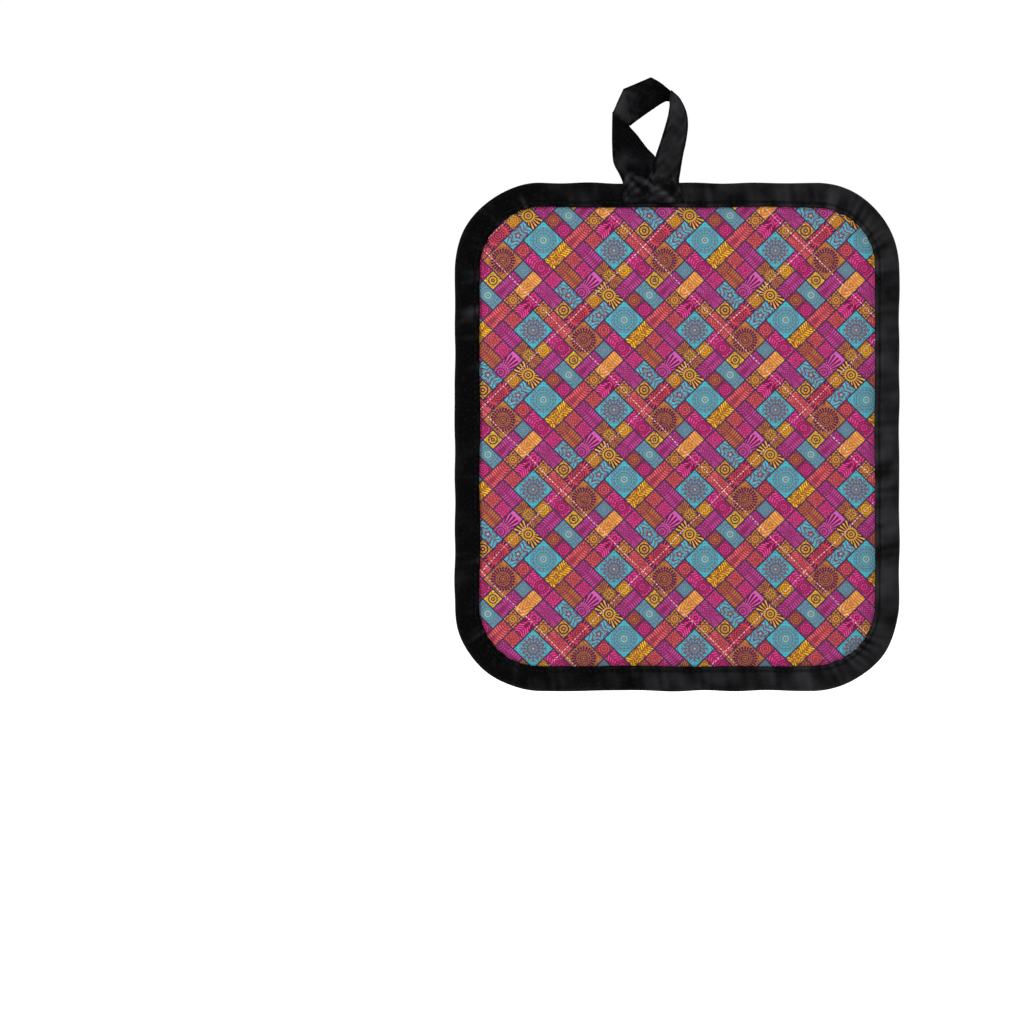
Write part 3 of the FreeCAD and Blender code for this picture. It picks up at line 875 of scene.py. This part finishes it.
def sewn_row_places(rising):
    """Where stitches sit on one set of rows, and the way each lies: even steps along every row, kept where
    they are on the quilted field, each moved a little off the row by a slow uneven wave."""
    rows = np.arange(-rows_out, rows_out + 1) * row_pitch
    reach = np.hypot(half_width, half_height)
    steps = np.arange(-reach, reach, stitch_pitch)
    off, along = np.meshgrid(rows, steps, indexing="ij")
    stray = row_stray * wander(along / stray_run + off * stray_row_shift, *stray_waves, 41 + rising)
    if rising:
        x, z = from_rows(along, off + stray)
        way = np.array([1, 1]) / np.sqrt(2)
    else:
        x, z = from_rows(off + stray, along)
        way = np.array([1, -1]) / np.sqrt(2)
    kept = depth_inside(x, z) > quilt_margin
    x, z = x[kept], z[kept]
    return x, z, np.full(len(x), way[0]), np.full(len(x), way[1])


def thread_finish(name, tone, dull, gloss):
    """Twisted thread: slanting fine bands along it, two close tones, a slight gloss."""
    finish, tree, shader = new_finish(name, thread_roughness, gloss, gloss / 2)
    places = cloth_places(tree)
    slanting = {"bands_direction": "DIAGONAL"}
    twist = add_node(tree, "ShaderNodeTexWave", slanting, Vector=places, Scale=twist_scale).outputs["Fac"]
    uneven = noise(tree, places, dull_scale, 2.0)
    shade = tint(tree, "MIX", slope(tree, uneven, *dull_fade), tone, dull)
    shade = tint(tree, "MULTIPLY", product(tree, twist, twist_share), shade, twist_tone)
    tree.links.new(shade, shader.inputs["Base Color"])
    raise_bump(tree, shader, twist, twist_lift)
    return finish


pale_thread = thread_finish("pale_needle_thread", needle_tone, needle_dull, needle_gloss)
black_thread = thread_finish("black_thread", bobbin_tone, bobbin_dull, bobbin_gloss)
for rising, word in ((1, "rising"), (0, "falling")):
    x, z, way_x, way_z = sewn_row_places(rising)
    for face, side, kind, finish, slot in (
        (0, -1, "needle", pale_thread, "pale_thread"),
        (1, 1, "bobbin", black_thread, "black_thread"),
    ):
        row = stitches(
            f"quilting_{kind}_{word}_stitches", x, z, way_x, way_z,
            pad_half(x, z, face), side, stitch_length, stitch_radius,
        )
        row.data.materials.append(finish)
        bend_at_fold(row)
        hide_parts(f"quilting_{kind}_{word}")

# ---------------------------------------------------------------- edge binding
# A black poly-cotton tape, folded lengthwise over the pad's edge with its own edges turned under, eased
# round the corners, where it puckers, and stitched through near its inner edge.

binding_width = 0.0108
binding_half = 0.0039
binding_round = 0.0030
tape_thickness = 0.0009
tape_clearance = 0.00012
tape_thread = 0.0004
tape_lift = 0.00012
tape_gloss = 0.02
# The tape's black, and the paler colour that its painted light and shade and its lint mix in.
tape_tone = linear(4, 4, 5)
tape_lit_and_worn = linear(52, 52, 54)
crown_height = 0.00035
crown_fullness = 0.8
groove_depth = 0.00042
groove_reach = 0.00055
pleat_height = 0.00032
pleat_lean = 0.004
pleat_waves = (120, 190)
pleats_on_sides = 0.10
pleat_deepening = 1.5
crease_height = 0.00028
crease_lean = 0.006
crease_waves = (30, 70)
lip_round = 0.0005
lip_pucker = 0.00010
lip_pucker_waves = (60, 130)
lip_stray = 0.00018
lip_stray_waves = (6, 18)
edge_stray = 0.00020
edge_stray_waves = (9, 36)
corner_spread = 1.2
# Painted light and shade on the tape: paler towards the right, paler on raised ridges and darker in pleat
# hollows, plus blotches of uneven tone.
paleness_at_left = 0.03
painted_light_rightwards = 0.40
painted_ridge_light = 0.45
ridge_height = 0.0009
rim_run = 0.0003
blotch_slow = 0.05
blotch_slow_waves = (15, 60)
blotch_fine = 0.04
blotch_fine_waves = (90, 220)
blotch_lean = 0.002
round_count = 1040
flat_count = 22
inner_count = 6
round_steps = 17
lip_steps = 7
arc_points = 90
corner_quarter = np.pi / 2


def edge_walk(turn):
    """Places along the pad's cut edge and the angle of the way out there, for shares of a whole turn. Four
    quarter arcs joined by straight sides are laid end to end and read evenly by length, from the right."""
    corners = (
        (half_width - top_right_radius, half_height - top_right_radius, top_right_radius),
        (top_left_radius - half_width, half_height - top_left_radius, top_left_radius),
        (bottom_left_radius - half_width, bottom_left_radius - half_height, bottom_left_radius),
        (half_width - bottom_right_radius, bottom_right_radius - half_height, bottom_right_radius),
    )
    quarter = np.linspace(0, corner_quarter, arc_points)
    angle = np.concatenate([quarter + corner_quarter * n for n in range(4)])
    centre_x, centre_z, radius = np.repeat(np.array(corners), arc_points, axis=0).T
    arc_x = centre_x + radius * np.cos(angle)
    arc_z = centre_z + radius * np.sin(angle)
    arc_x = np.append(arc_x, arc_x[0])
    arc_z = np.append(arc_z, arc_z[0])
    angle = np.append(angle, 4 * corner_quarter)
    length = np.append(0, np.cumsum(np.hypot(np.diff(arc_x), np.diff(arc_z))))
    at = np.mod(turn, 1) * length[-1]
    x = middle_x + np.interp(at, length, arc_x)
    z = middle_z + np.interp(at, length, arc_z)
    return x, z, np.interp(at, length, angle), length[-1]


def corner_share(out_angle):
    """One in the middle of a corner and nought along the sides: the sine of twice the way out's angle,
    eased."""
    return ease(np.abs(np.sin(2 * out_angle)) * corner_spread)


def tape_out(turn, inset, out_angle, face):
    """How far the tape's outside stands from the pad's mid-plane, at a place along and in from the edge: a
    low crown, less the groove of its seam, plus pleats that deepen towards the inner edge in corners, and
    creases. Both lean a little along the tape."""
    inward = inset / binding_width
    crown = crown_height * np.sin(np.pi * np.clip(inward, 0, 1)) ** crown_fullness
    groove = groove_depth * np.exp(-(((inset - seam_inset) / groove_reach) ** 2))
    pleats_here = pleats_on_sides + (1 - pleats_on_sides) * corner_share(out_angle)
    pleats = wander(turn + pleat_lean * inward, *pleat_waves, 51 + face) * pleats_here
    creases = wander(turn + crease_lean * inward, *crease_waves, 53 + face)
    uneven = pleat_height * pleats * inward**pleat_deepening + crease_height * creases * inward
    return binding_half + crown - groove + uneven


def binding_band():
    """The tape's closed outline carried round the pad. From the front inner edge it runs out over the crown,
    round the cut edge as half an oval, and in to the back inner edge, then returns a tape's thickness
    inside. Each line of the outline is one array round the whole pad."""
    flat = np.linspace(binding_width, binding_round, flat_count)
    sweep = np.linspace(0, np.pi, round_steps)[1:-1]
    lip_angle = np.linspace(0, np.pi, lip_steps)[1:-1]
    turn = np.arange(round_count) / round_count
    x, z, out_angle, length = edge_walk(turn)
    lip_wave = lip_pucker * wander(turn, *lip_pucker_waves, 55) * (0.6 + corner_share(out_angle))
    lip_wave = lip_wave + lip_stray * wander(turn, *lip_stray_waves, 56)
    edge_wave = edge_stray * wander(turn, *edge_stray_waves, 57)
    insets = []
    heights = []
    under = edge_half + tape_clearance

    def add(inset, height):
        insets.append(np.broadcast_to(inset, turn.shape))
        heights.append(np.broadcast_to(height, turn.shape))

    def flat_run(face, side, run):
        for inset in run:
            stretch = inset + lip_wave * ease((inset - binding_round) / (binding_width - binding_round))
            add(stretch, side * tape_out(turn, inset, out_angle, face))

    def lip(face, side, run):
        for angle in run:
            top = tape_out(turn, binding_width, out_angle, face)
            middle = (top + under) / 2
            bulge = (top - under) / 2
            reach = binding_width + lip_wave + lip_round * np.sin(angle)
            add(reach, side * (middle + bulge * np.cos(angle)))

    flat_run(0, -1, flat)
    turn_front = tape_out(turn, binding_round, out_angle, 0)
    turn_back = tape_out(turn, binding_round, out_angle, 1)
    for angle in sweep:
        share = (1 - np.cos(angle)) / 2
        reach = turn_front * (1 - share) + turn_back * share
        add(binding_round * (1 - np.sin(angle)), -reach * np.cos(angle))
    flat_run(1, 1, flat[::-1])
    lip(1, 1, lip_angle)
    for inset in np.linspace(binding_width, binding_round, inner_count):
        add(inset, under)
    inner_round = binding_round - tape_thickness
    for angle in sweep[::-2]:
        add(tape_thickness + inner_round * (1 - np.sin(angle)), -under * np.cos(angle))
    for inset in np.linspace(binding_round, binding_width, inner_count):
        add(inset, -under)
    lip(0, -1, lip_angle[::-1])
    inset = np.stack(insets)
    height = np.stack(heights)
    out = edge_wave * ease(1 - inset / binding_width) - inset
    points = np.stack([x + out * np.cos(out_angle), height, z + out * np.sin(out_angle)], -1)
    rows = len(insets)
    row, spoke = np.meshgrid(np.arange(rows), np.arange(round_count), indexing="ij")
    first = row * round_count + spoke
    after = row * round_count + (spoke + 1) % round_count
    first_next = (first + round_count) % (rows * round_count)
    after_next = (after + round_count) % (rows * round_count)
    faces = np.stack([first, first_next, after_next, after], -1).reshape(-1, 4)
    step_in = np.diff(inset[:, :1], axis=0, prepend=inset[:1, :1])
    step_out = np.diff(height[:, :1], axis=0, prepend=height[:1, :1])
    girth = np.cumsum(np.hypot(step_in, step_out), axis=0)
    inward = inset / binding_width
    # Painted highlight and shade: how far the surface stands above or sinks below its plain crown, so ridges
    # are painted paler and pleat hollows darker.
    level = np.abs(height) - (binding_half + crown_height * np.sin(np.pi * np.clip(inward, 0, 1)))
    level = level * ease((inset - binding_round + rim_run) / rim_run)
    # Painted light: the tape is painted paler towards the right, as if more light fell on that side.
    rightward = (x - middle_x + half_width) / (2 * half_width)
    blotch = blotch_slow * wander(turn, *blotch_slow_waves, 58)
    blotch = blotch + blotch_fine * wander(turn + blotch_lean * inward, *blotch_fine_waves, 59)
    lit_and_worn = paleness_at_left + painted_light_rightwards * rightward + painted_ridge_light * level / ridge_height + blotch
    return points.reshape(-1, 3), faces, rows, length, np.broadcast_to(girth, inset.shape), turn, lit_and_worn


band_points, band_faces, band_rows, edge_length, band_girth, band_turn, band_light_and_blotches = binding_band()
band_places = np.stack([np.tile(band_turn * edge_length, band_rows), band_girth.ravel()], 1)
binding = make_piece("bound_edge", band_points, band_faces, band_places)
light_and_wear(binding, band_light_and_blotches)
tape_finish = black_cloth("black_tape", tape_thread, tape_tone, tape_lit_and_worn, tape_lift, tape_gloss)
binding.data.materials.append(tape_finish)
bend_at_fold(binding)
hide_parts("edge_binding")

# ---------------------------------------------------------------- binding stitching
# One lockstitched row right round, through the tape's two inner edges and the pad: the needle thread on the
# front and the bobbin thread on the back, both black, pulled down into the tape.

seam_pitch = 0.0027
seam_stitch = 0.0021
seam_thread_radius = 0.00024
seam_count = int(edge_length / seam_pitch)
seam_turn = (np.arange(seam_count) + 0.5) / seam_count
seam_x, seam_z, seam_angle, _ = edge_walk(seam_turn)
seam_place_x = seam_x - seam_inset * np.cos(seam_angle)
seam_place_z = seam_z - seam_inset * np.sin(seam_angle)
for face, side, kind in ((0, -1, "needle"), (1, 1, "bobbin")):
    surface = tape_out(seam_turn, seam_inset, seam_angle, face)
    row = stitches(
        f"binding_{kind}_stitches", seam_place_x, seam_place_z, -np.sin(seam_angle), np.cos(seam_angle),
        surface, side, seam_stitch, seam_thread_radius,
    )
    row.data.materials.append(black_thread)
    bend_at_fold(row)
    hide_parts(f"binding_{kind}_thread")

# ---------------------------------------------------------------- hanging loop
# One black folded tape, laid flat as a ring: up the left, folded over backwards, across the top, behind the
# right leg and down again. Both feet lie crumpled on the bound edge and are sewn down through it.

loop_thickness = 0.0013
loop_width = 0.013
loop_length = 0.130
loop_steps = 14
loop_spokes = 40
width_points = 41
loop_crown = 0.0005
crease_place = -0.14
crease_reach = 0.05
loop_crease_height = 0.0006
crease_from_x = -0.0195
crease_from_z = 0.004
tape_edge_fullness = 0.55
tape_face_fullness = 0.7
foot_top_z = -0.0270
foot_run = 0.006
foot_groove_z = -0.0437
foot_groove_depth = 0.0004
foot_groove_reach = 0.0008
# Painted light and shade on the loop's tape: fold ridges paler and hollows darker, darker towards its edges
# and in its crease, and uneven streaks.
fold_shade_height = 0.0019
streak_paleness = 0.10
streak_waves = (8, 30)
streak_sway = 0.02
edge_shade_depth = 0.45
edge_shade_from = 0.36
edge_shade_run = 0.14
crease_shade_depth = 0.35

# Stations along the tape: outer edge x and z, inner edge x and z, how far the outer and inner edges stand out
# from the pad's mid-plane towards the front, all in millimetres, and how pale the tape is painted there, in
# thousandths: painted light and shade on its facets, paler on the right leg and the fold at top left, dark
# where the band turns back under the right leg.
stations = 0.001 * np.array([
    (-19.9, -45.8, -7.0, -46.0, 3.6, 3.6, 200),
    (-20.3, -44.6, -6.8, -44.8, 4.8, 4.8, 240),
    (-20.2, -41.5, -6.6, -41.5, 5.2, 5.3, 220),
    (-20.1, -37.6, -6.5, -37.6, 4.7, 5.0, 190),
    (-21.6, -33.6, -5.6, -32.6, 3.0, 4.2, 130),
    (-24.2, -28.0, -4.9, -26.6, 1.8, 3.2, 50),
    (-24.8, -20.0, -9.2, -21.4, 1.2, 2.4, 10),
    (-24.8, -12.4, -13.6, -15.6, 1.3, 2.2, 0),
    (-24.7, -6.6, -16.9, -12.0, 1.9, 2.3, 80),
    (-24.6, -5.4, -16.5, -11.4, 1.6, 2.0, 400),
    (-24.3, -5.1, -16.2, -11.3, 0.2, 0.6, 500),
    (-21.8, 0.6, -16.1, -11.2, -0.9, 0.6, 510),
    (-19.7, 5.1, -16.0, -11.1, -1.9, 0.6, 400),
    (-19.2, 5.6, -15.8, -10.9, -2.0, 0.6, 200),
    (-16.0, 6.9, -13.0, -8.8, -1.7, 0.9, 110),
    (-10.5, 9.2, -8.0, -5.2, -1.1, 0.8, 90),
    (-7.6, 10.4, -5.6, -3.6, -0.9, 0.6, 90),
    (-6.9, 10.4, -5.0, -3.1, -1.0, 0.5, 60),
    (-3.2, 8.5, -2.2, -1.2, -2.3, -1.1, 0),
    (0.4, 5.8, 0.0, -0.1, -3.6, -2.6, 0),
    (2.9, 3.6, 2.2, -0.6, -3.6, -3.2, 0),
    (3.0, 3.5, 2.2, -0.9, -2.4, -1.8, 0),
    (2.0, 4.6, 1.7, 0.0, -0.3, 0.1, 180),
    (3.2, 3.5, 1.3, -1.2, 0.6, 0.9, 380),
    (6.0, 0.6, 1.0, -3.0, 0.7, 1.4, 470),
    (8.7, -5.0, 0.3, -7.0, 0.2, 1.6, 470),
    (9.5, -11.0, -1.1, -12.2, 0.0, 1.7, 460),
    (8.7, -18.0, -3.0, -18.4, 0.3, 2.1, 430),
    (7.2, -25.0, -5.5, -26.0, 1.1, 3.4, 380),
    (6.0, -32.0, -6.4, -31.8, 2.6, 4.9, 350),
    (5.3, -37.2, -8.0, -37.0, 4.6, 5.8, 210),
    (6.4, -41.5, -10.4, -41.0, 5.3, 6.1, 150),
    (7.4, -45.0, -11.8, -44.2, 5.0, 5.5, 180),
    (7.6, -46.4, -12.0, -45.4, 3.6, 3.8, 120),
])

# Folds of the crumpled feet, in millimetres: each fold's two ends in x and z, its half width and its height.
crumples = 0.001 * np.array([
    (-12.8, -35.0, 2.0, -45.5, 0.9, 0.75),
    (-7.0, -28.2, -6.8, -35.0, 0.7, 0.60),
    (-19.4, -30.4, -17.5, -36.8, 0.9, 0.55),
    (-9.4, -29.7, -9.0, -34.8, 0.7, -0.75),
    (-9.4, -39.6, -8.1, -42.0, 0.8, -0.70),
    (-7.6, -36.9, -2.7, -44.6, 0.6, -0.60),
    (-4.8, -27.0, -3.2, -33.4, 0.7, -0.55),
    (-4.0, -30.6, -2.4, -35.8, 0.7, 0.50),
    (-16.2, -38.0, -13.0, -41.5, 0.8, 0.50),
    (-18.6, -39.2, -17.2, -43.0, 0.7, -0.45),
    (-12.2, -31.8, -15.2, -36.4, 0.9, -0.45),
    (3.0, -36.0, 7.0, -43.5, 0.8, 0.40),
    (0.8, -33.0, 2.6, -41.0, 0.7, -0.40),
])


def along_stations(table, count):
    """Smooth values along a table's rows: between two rows, a cubic through the four nearest, with the end
    rows repeated once."""
    place = np.linspace(0, len(table) - 1, count)
    first = np.minimum(np.floor(place).astype(int), len(table) - 2)
    padded = np.concatenate([table[:1], table, table[-1:]])
    shares = cubic_shares((place - first)[:, None])
    return sum(share * padded[first + n] for n, share in enumerate(shares))


def crumpled(x, z):
    """Height of the feet's folds at a place: for each fold, its height times a bell of the distance to the
    line between its ends, all added, and run out to nothing above the feet."""
    total = np.zeros(np.shape(x))
    for x0, z0, x1, z1, width, height in crumples:
        length = (x1 - x0) ** 2 + (z1 - z0) ** 2
        share = np.clip(((x - x0) * (x1 - x0) + (z - z0) * (z1 - z0)) / length, 0, 1)
        away = np.hypot(x - x0 - share * (x1 - x0), z - z0 - share * (z1 - z0))
        total = total + height * np.exp(-((away / width) ** 2))
    return total * ease((foot_top_z - z) / foot_run)


def unit(vectors):
    """Vectors brought to length one."""
    return vectors / np.maximum(np.linalg.norm(vectors, axis=-1, keepdims=True), 1e-12)


def rounded(wave, power):
    """A wave with fuller tops: its size raised to a power below one, with its sign kept."""
    return np.sign(wave) * np.abs(wave) ** power


def loop_tape():
    """The tape as a closed band. Each station's two edges are joined by a straight line with a slight crown,
    and a flattened ring of points round it gives the tape its thickness along the surface's own normal."""
    count = (len(stations) - 1) * loop_steps + 1
    edges = along_stations(stations, count)
    spoke = np.arange(loop_spokes) / loop_spokes * 2 * np.pi
    over = np.linspace(-0.5, 0.5, width_points)
    outer = edges[:, None, [0, 4, 1]] * (1, -1, 1)
    inner = edges[:, None, [2, 5, 3]] * (1, -1, 1)
    share = over[None, :, None] + 0.5
    sheet_points = outer * (1 - share) + inner * share
    sheet_points[..., 1] -= loop_crown * np.cos(np.pi * over)[None]
    band = (edges[:, 0] > crease_from_x) & (edges[:, 0] < 0) & (edges[:, 1] > crease_from_z)
    lengthwise = np.exp(-(((over - crease_place) / crease_reach) ** 2))[None] * band[:, None]
    sheet_points[..., 1] += loop_crease_height * lengthwise
    groove = foot_groove_depth * np.exp(-(((sheet_points[..., 2] - foot_groove_z) / foot_groove_reach) ** 2))
    sheet_points[..., 1] -= crumpled(sheet_points[..., 0], sheet_points[..., 2]) - groove
    normal = unit(np.cross(np.gradient(sheet_points, axis=1), np.gradient(sheet_points, axis=0)))
    ring_over = rounded(np.cos(spoke), tape_edge_fullness) / 2
    ring_out = rounded(np.sin(spoke), tape_face_fullness) * loop_thickness / 2
    place = (ring_over + 0.5) * (width_points - 1)
    low = np.minimum(place.astype(int), width_points - 2)
    part = (place - low)[None, :, None]
    centre = sheet_points[:, low] * (1 - part) + sheet_points[:, low + 1] * part
    facing = unit(normal[:, low] * (1 - part) + normal[:, low + 1] * part)
    points = centre + facing * ring_out[None, :, None]
    middle_line = sheet_points[:, width_points // 2]
    run = np.append(0, np.cumsum(np.linalg.norm(np.diff(middle_line, axis=0), axis=-1)))
    places = np.stack(np.broadcast_arrays(run[:, None], loop_width * ring_over[None]), -1)
    # Painted light and shade: the stations' painted paleness of each facet.
    given = edges[:, 6:]
    # Painted highlight and shade: the feet's raised folds are painted paler and their sunk folds darker.
    folds = crumpled(centre[..., 0], centre[..., 2]) / fold_shade_height
    # Uneven lighter and darker streaks along the tape.
    sway = streak_sway * np.sin(9 * ring_over)[None]
    streaks = streak_paleness * wander(run[:, None] / loop_length + sway, *streak_waves, 61)
    # Painted shade: the tape is painted darker towards both its edges, where it turns away.
    edge_shade = edge_shade_depth * ease((np.abs(ring_over) - edge_shade_from) / edge_shade_run)[None]
    # Painted shade: a dark line painted along the top band's lengthwise crease.
    crease_shade = crease_shade_depth * (lengthwise[:, low] > 0.4)
    lit_and_worn = given + folds + streaks - edge_shade * ease(given / 0.4) - crease_shade
    row, step = np.meshgrid(np.arange(count - 1), np.arange(loop_spokes), indexing="ij")
    first = row * loop_spokes + step
    beside = row * loop_spokes + (step + 1) % loop_spokes
    faces = np.stack([first, beside, beside + loop_spokes, first + loop_spokes], -1).reshape(-1, 4)
    top = np.arange(1, loop_spokes // 2 - 1)
    cap = np.stack([top, loop_spokes - top, loop_spokes - top - 1, top + 1], 1)
    last = (count - 1) * loop_spokes
    faces = np.concatenate([faces, cap[:, ::-1], cap + last])
    return points.reshape(-1, 3), faces, places.reshape(-1, 2), lit_and_worn


loop_points, loop_faces, loop_places, loop_light_and_streaks = loop_tape()
loop = make_piece("hanging_tape_loop", loop_points, loop_faces, loop_places)
light_and_wear(loop, loop_light_and_streaks)
loop.data.materials.append(tape_finish)
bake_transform(loop)
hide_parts("hanging_loop")

# ---------------------------------------------------------------- bar tack
# The row of close black stitches that ties both feet of the loop down through the binding. It lies on the
# crumpled tape, so each stitch sits on the highest part of the feet near it.

tack_low, tack_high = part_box("loop_bartack")
tack_pitch = 0.0011
tack_stitch = 0.0011
tack_radius = 0.00026
tack_slant = 0.35
tack_stray = 0.0004
tack_stray_run = 0.05
tack_stray_waves = (2, 6)
tack_reach = 0.0012
tack_sink = 0.0001
foot_low_z = -0.041
tack_x = np.arange(tack_low.x + tack_pitch / 2, tack_high.x, tack_pitch)
tack_z = (tack_low.z + tack_high.z) / 2 + tack_stray * wander(tack_x / tack_stray_run, *tack_stray_waves, 71)
foot_points = loop_points[loop_points[:, 2] < foot_low_z]
apart = np.hypot(foot_points[None, :, 0] - tack_x[:, None], foot_points[None, :, 2] - tack_z[:, None])
tack_surface = np.where(apart < tack_reach, -foot_points[None, :, 1], 0).max(1) - tack_sink
tack = stitches(
    "loop_bar_tack", tack_x, tack_z, np.ones(len(tack_x)), np.full(len(tack_x), tack_slant),
    tack_surface, -1, tack_stitch, tack_radius,
)
tack.data.materials.append(black_thread)
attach(tack, "upper_half")
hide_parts("loop_bartack")

# ---------------------------------------------------------------- studio
# A plain pale floor some way under the hanging pad, a pale surround that is brightest behind it, one soft
# light high on the left, a weaker one on the right and one behind.

lens_length = 125
film_width = 36
camera_place = (-0.06975, -1.6, -0.1852)
floor_drop = 0.035
floor_reach = 40
floor_lines = 13
floor_glow = 0.35
floor_roughness = 0.9
floor_gloss = 0.1
floor_tone = linear(250, 250, 250)
front_strength = 0.62
behind_gain = 0.40
behind_fade = (-0.7, 0.5)
lamps = (
    ("soft_key", (-0.95, -0.95, 0.70), 0.45, 17.0),
    ("soft_fill", (0.9, -1.2, 0.1), 0.8, 1.5),
    ("soft_back", (0.6, 1.3, 0.5), 0.8, 6.0),
)

camera_data = bpy.data.cameras.new("view")
camera_data.lens = lens_length
camera_data.sensor_width = film_width
camera = bpy.data.objects.new("view", camera_data)
camera.location = camera_place
camera.rotation_euler = (np.pi / 2, 0, 0)
bpy.context.scene.collection.objects.link(camera)
bpy.context.scene.camera = camera

floor_line = np.linspace(-floor_reach, floor_reach, floor_lines)
floor_x, floor_y = np.meshgrid(floor_line, floor_line, indexing="ij")
floor_level = np.full(floor_x.size, cad_box[0][2] - floor_drop)
floor_points = np.stack([floor_x.ravel(), floor_y.ravel(), floor_level], 1)
floor = make_piece("floor", floor_points, kept_cells(np.ones(floor_x.shape, bool)))
floor_finish, tree, shader = new_finish("pale_floor", floor_roughness, floor_gloss, 0.0)
shader.inputs["Base Color"].default_value = floor_tone
shader.inputs["Emission Color"].default_value = (1.0, 1.0, 1.0, 1.0)
shader.inputs["Emission Strength"].default_value = floor_glow
floor.data.materials.append(floor_finish)

world = bpy.data.worlds.new("surround")
world.use_nodes = True
surround = world.node_tree
way = add_node(surround, "ShaderNodeTexCoord").outputs["Generated"]
behind = slope(surround, parts(surround, way)[1], *behind_fade)
strength = reckon(surround, "ADD", front_strength, product(surround, behind, behind_gain))
surround.links.new(strength, surround.nodes["Background"].inputs["Strength"])
surround.nodes["Background"].inputs["Color"].default_value = (1.0, 1.0, 1.0, 1.0)
bpy.context.scene.world = world

for name, place, size, power in lamps:
    lamp_data = bpy.data.lights.new(name, "AREA")
    lamp_data.size = size
    lamp_data.energy = power
    lamp = bpy.data.objects.new(name, lamp_data)
    lamp.location = place
    towards = Vector((middle_x, 0, middle_z)) - Vector(place)
    lamp.rotation_euler = towards.to_track_quat("-Z", "Y").to_euler()
    bpy.context.scene.collection.objects.link(lamp)

bpy.context.scene.view_settings.view_transform = "Standard"
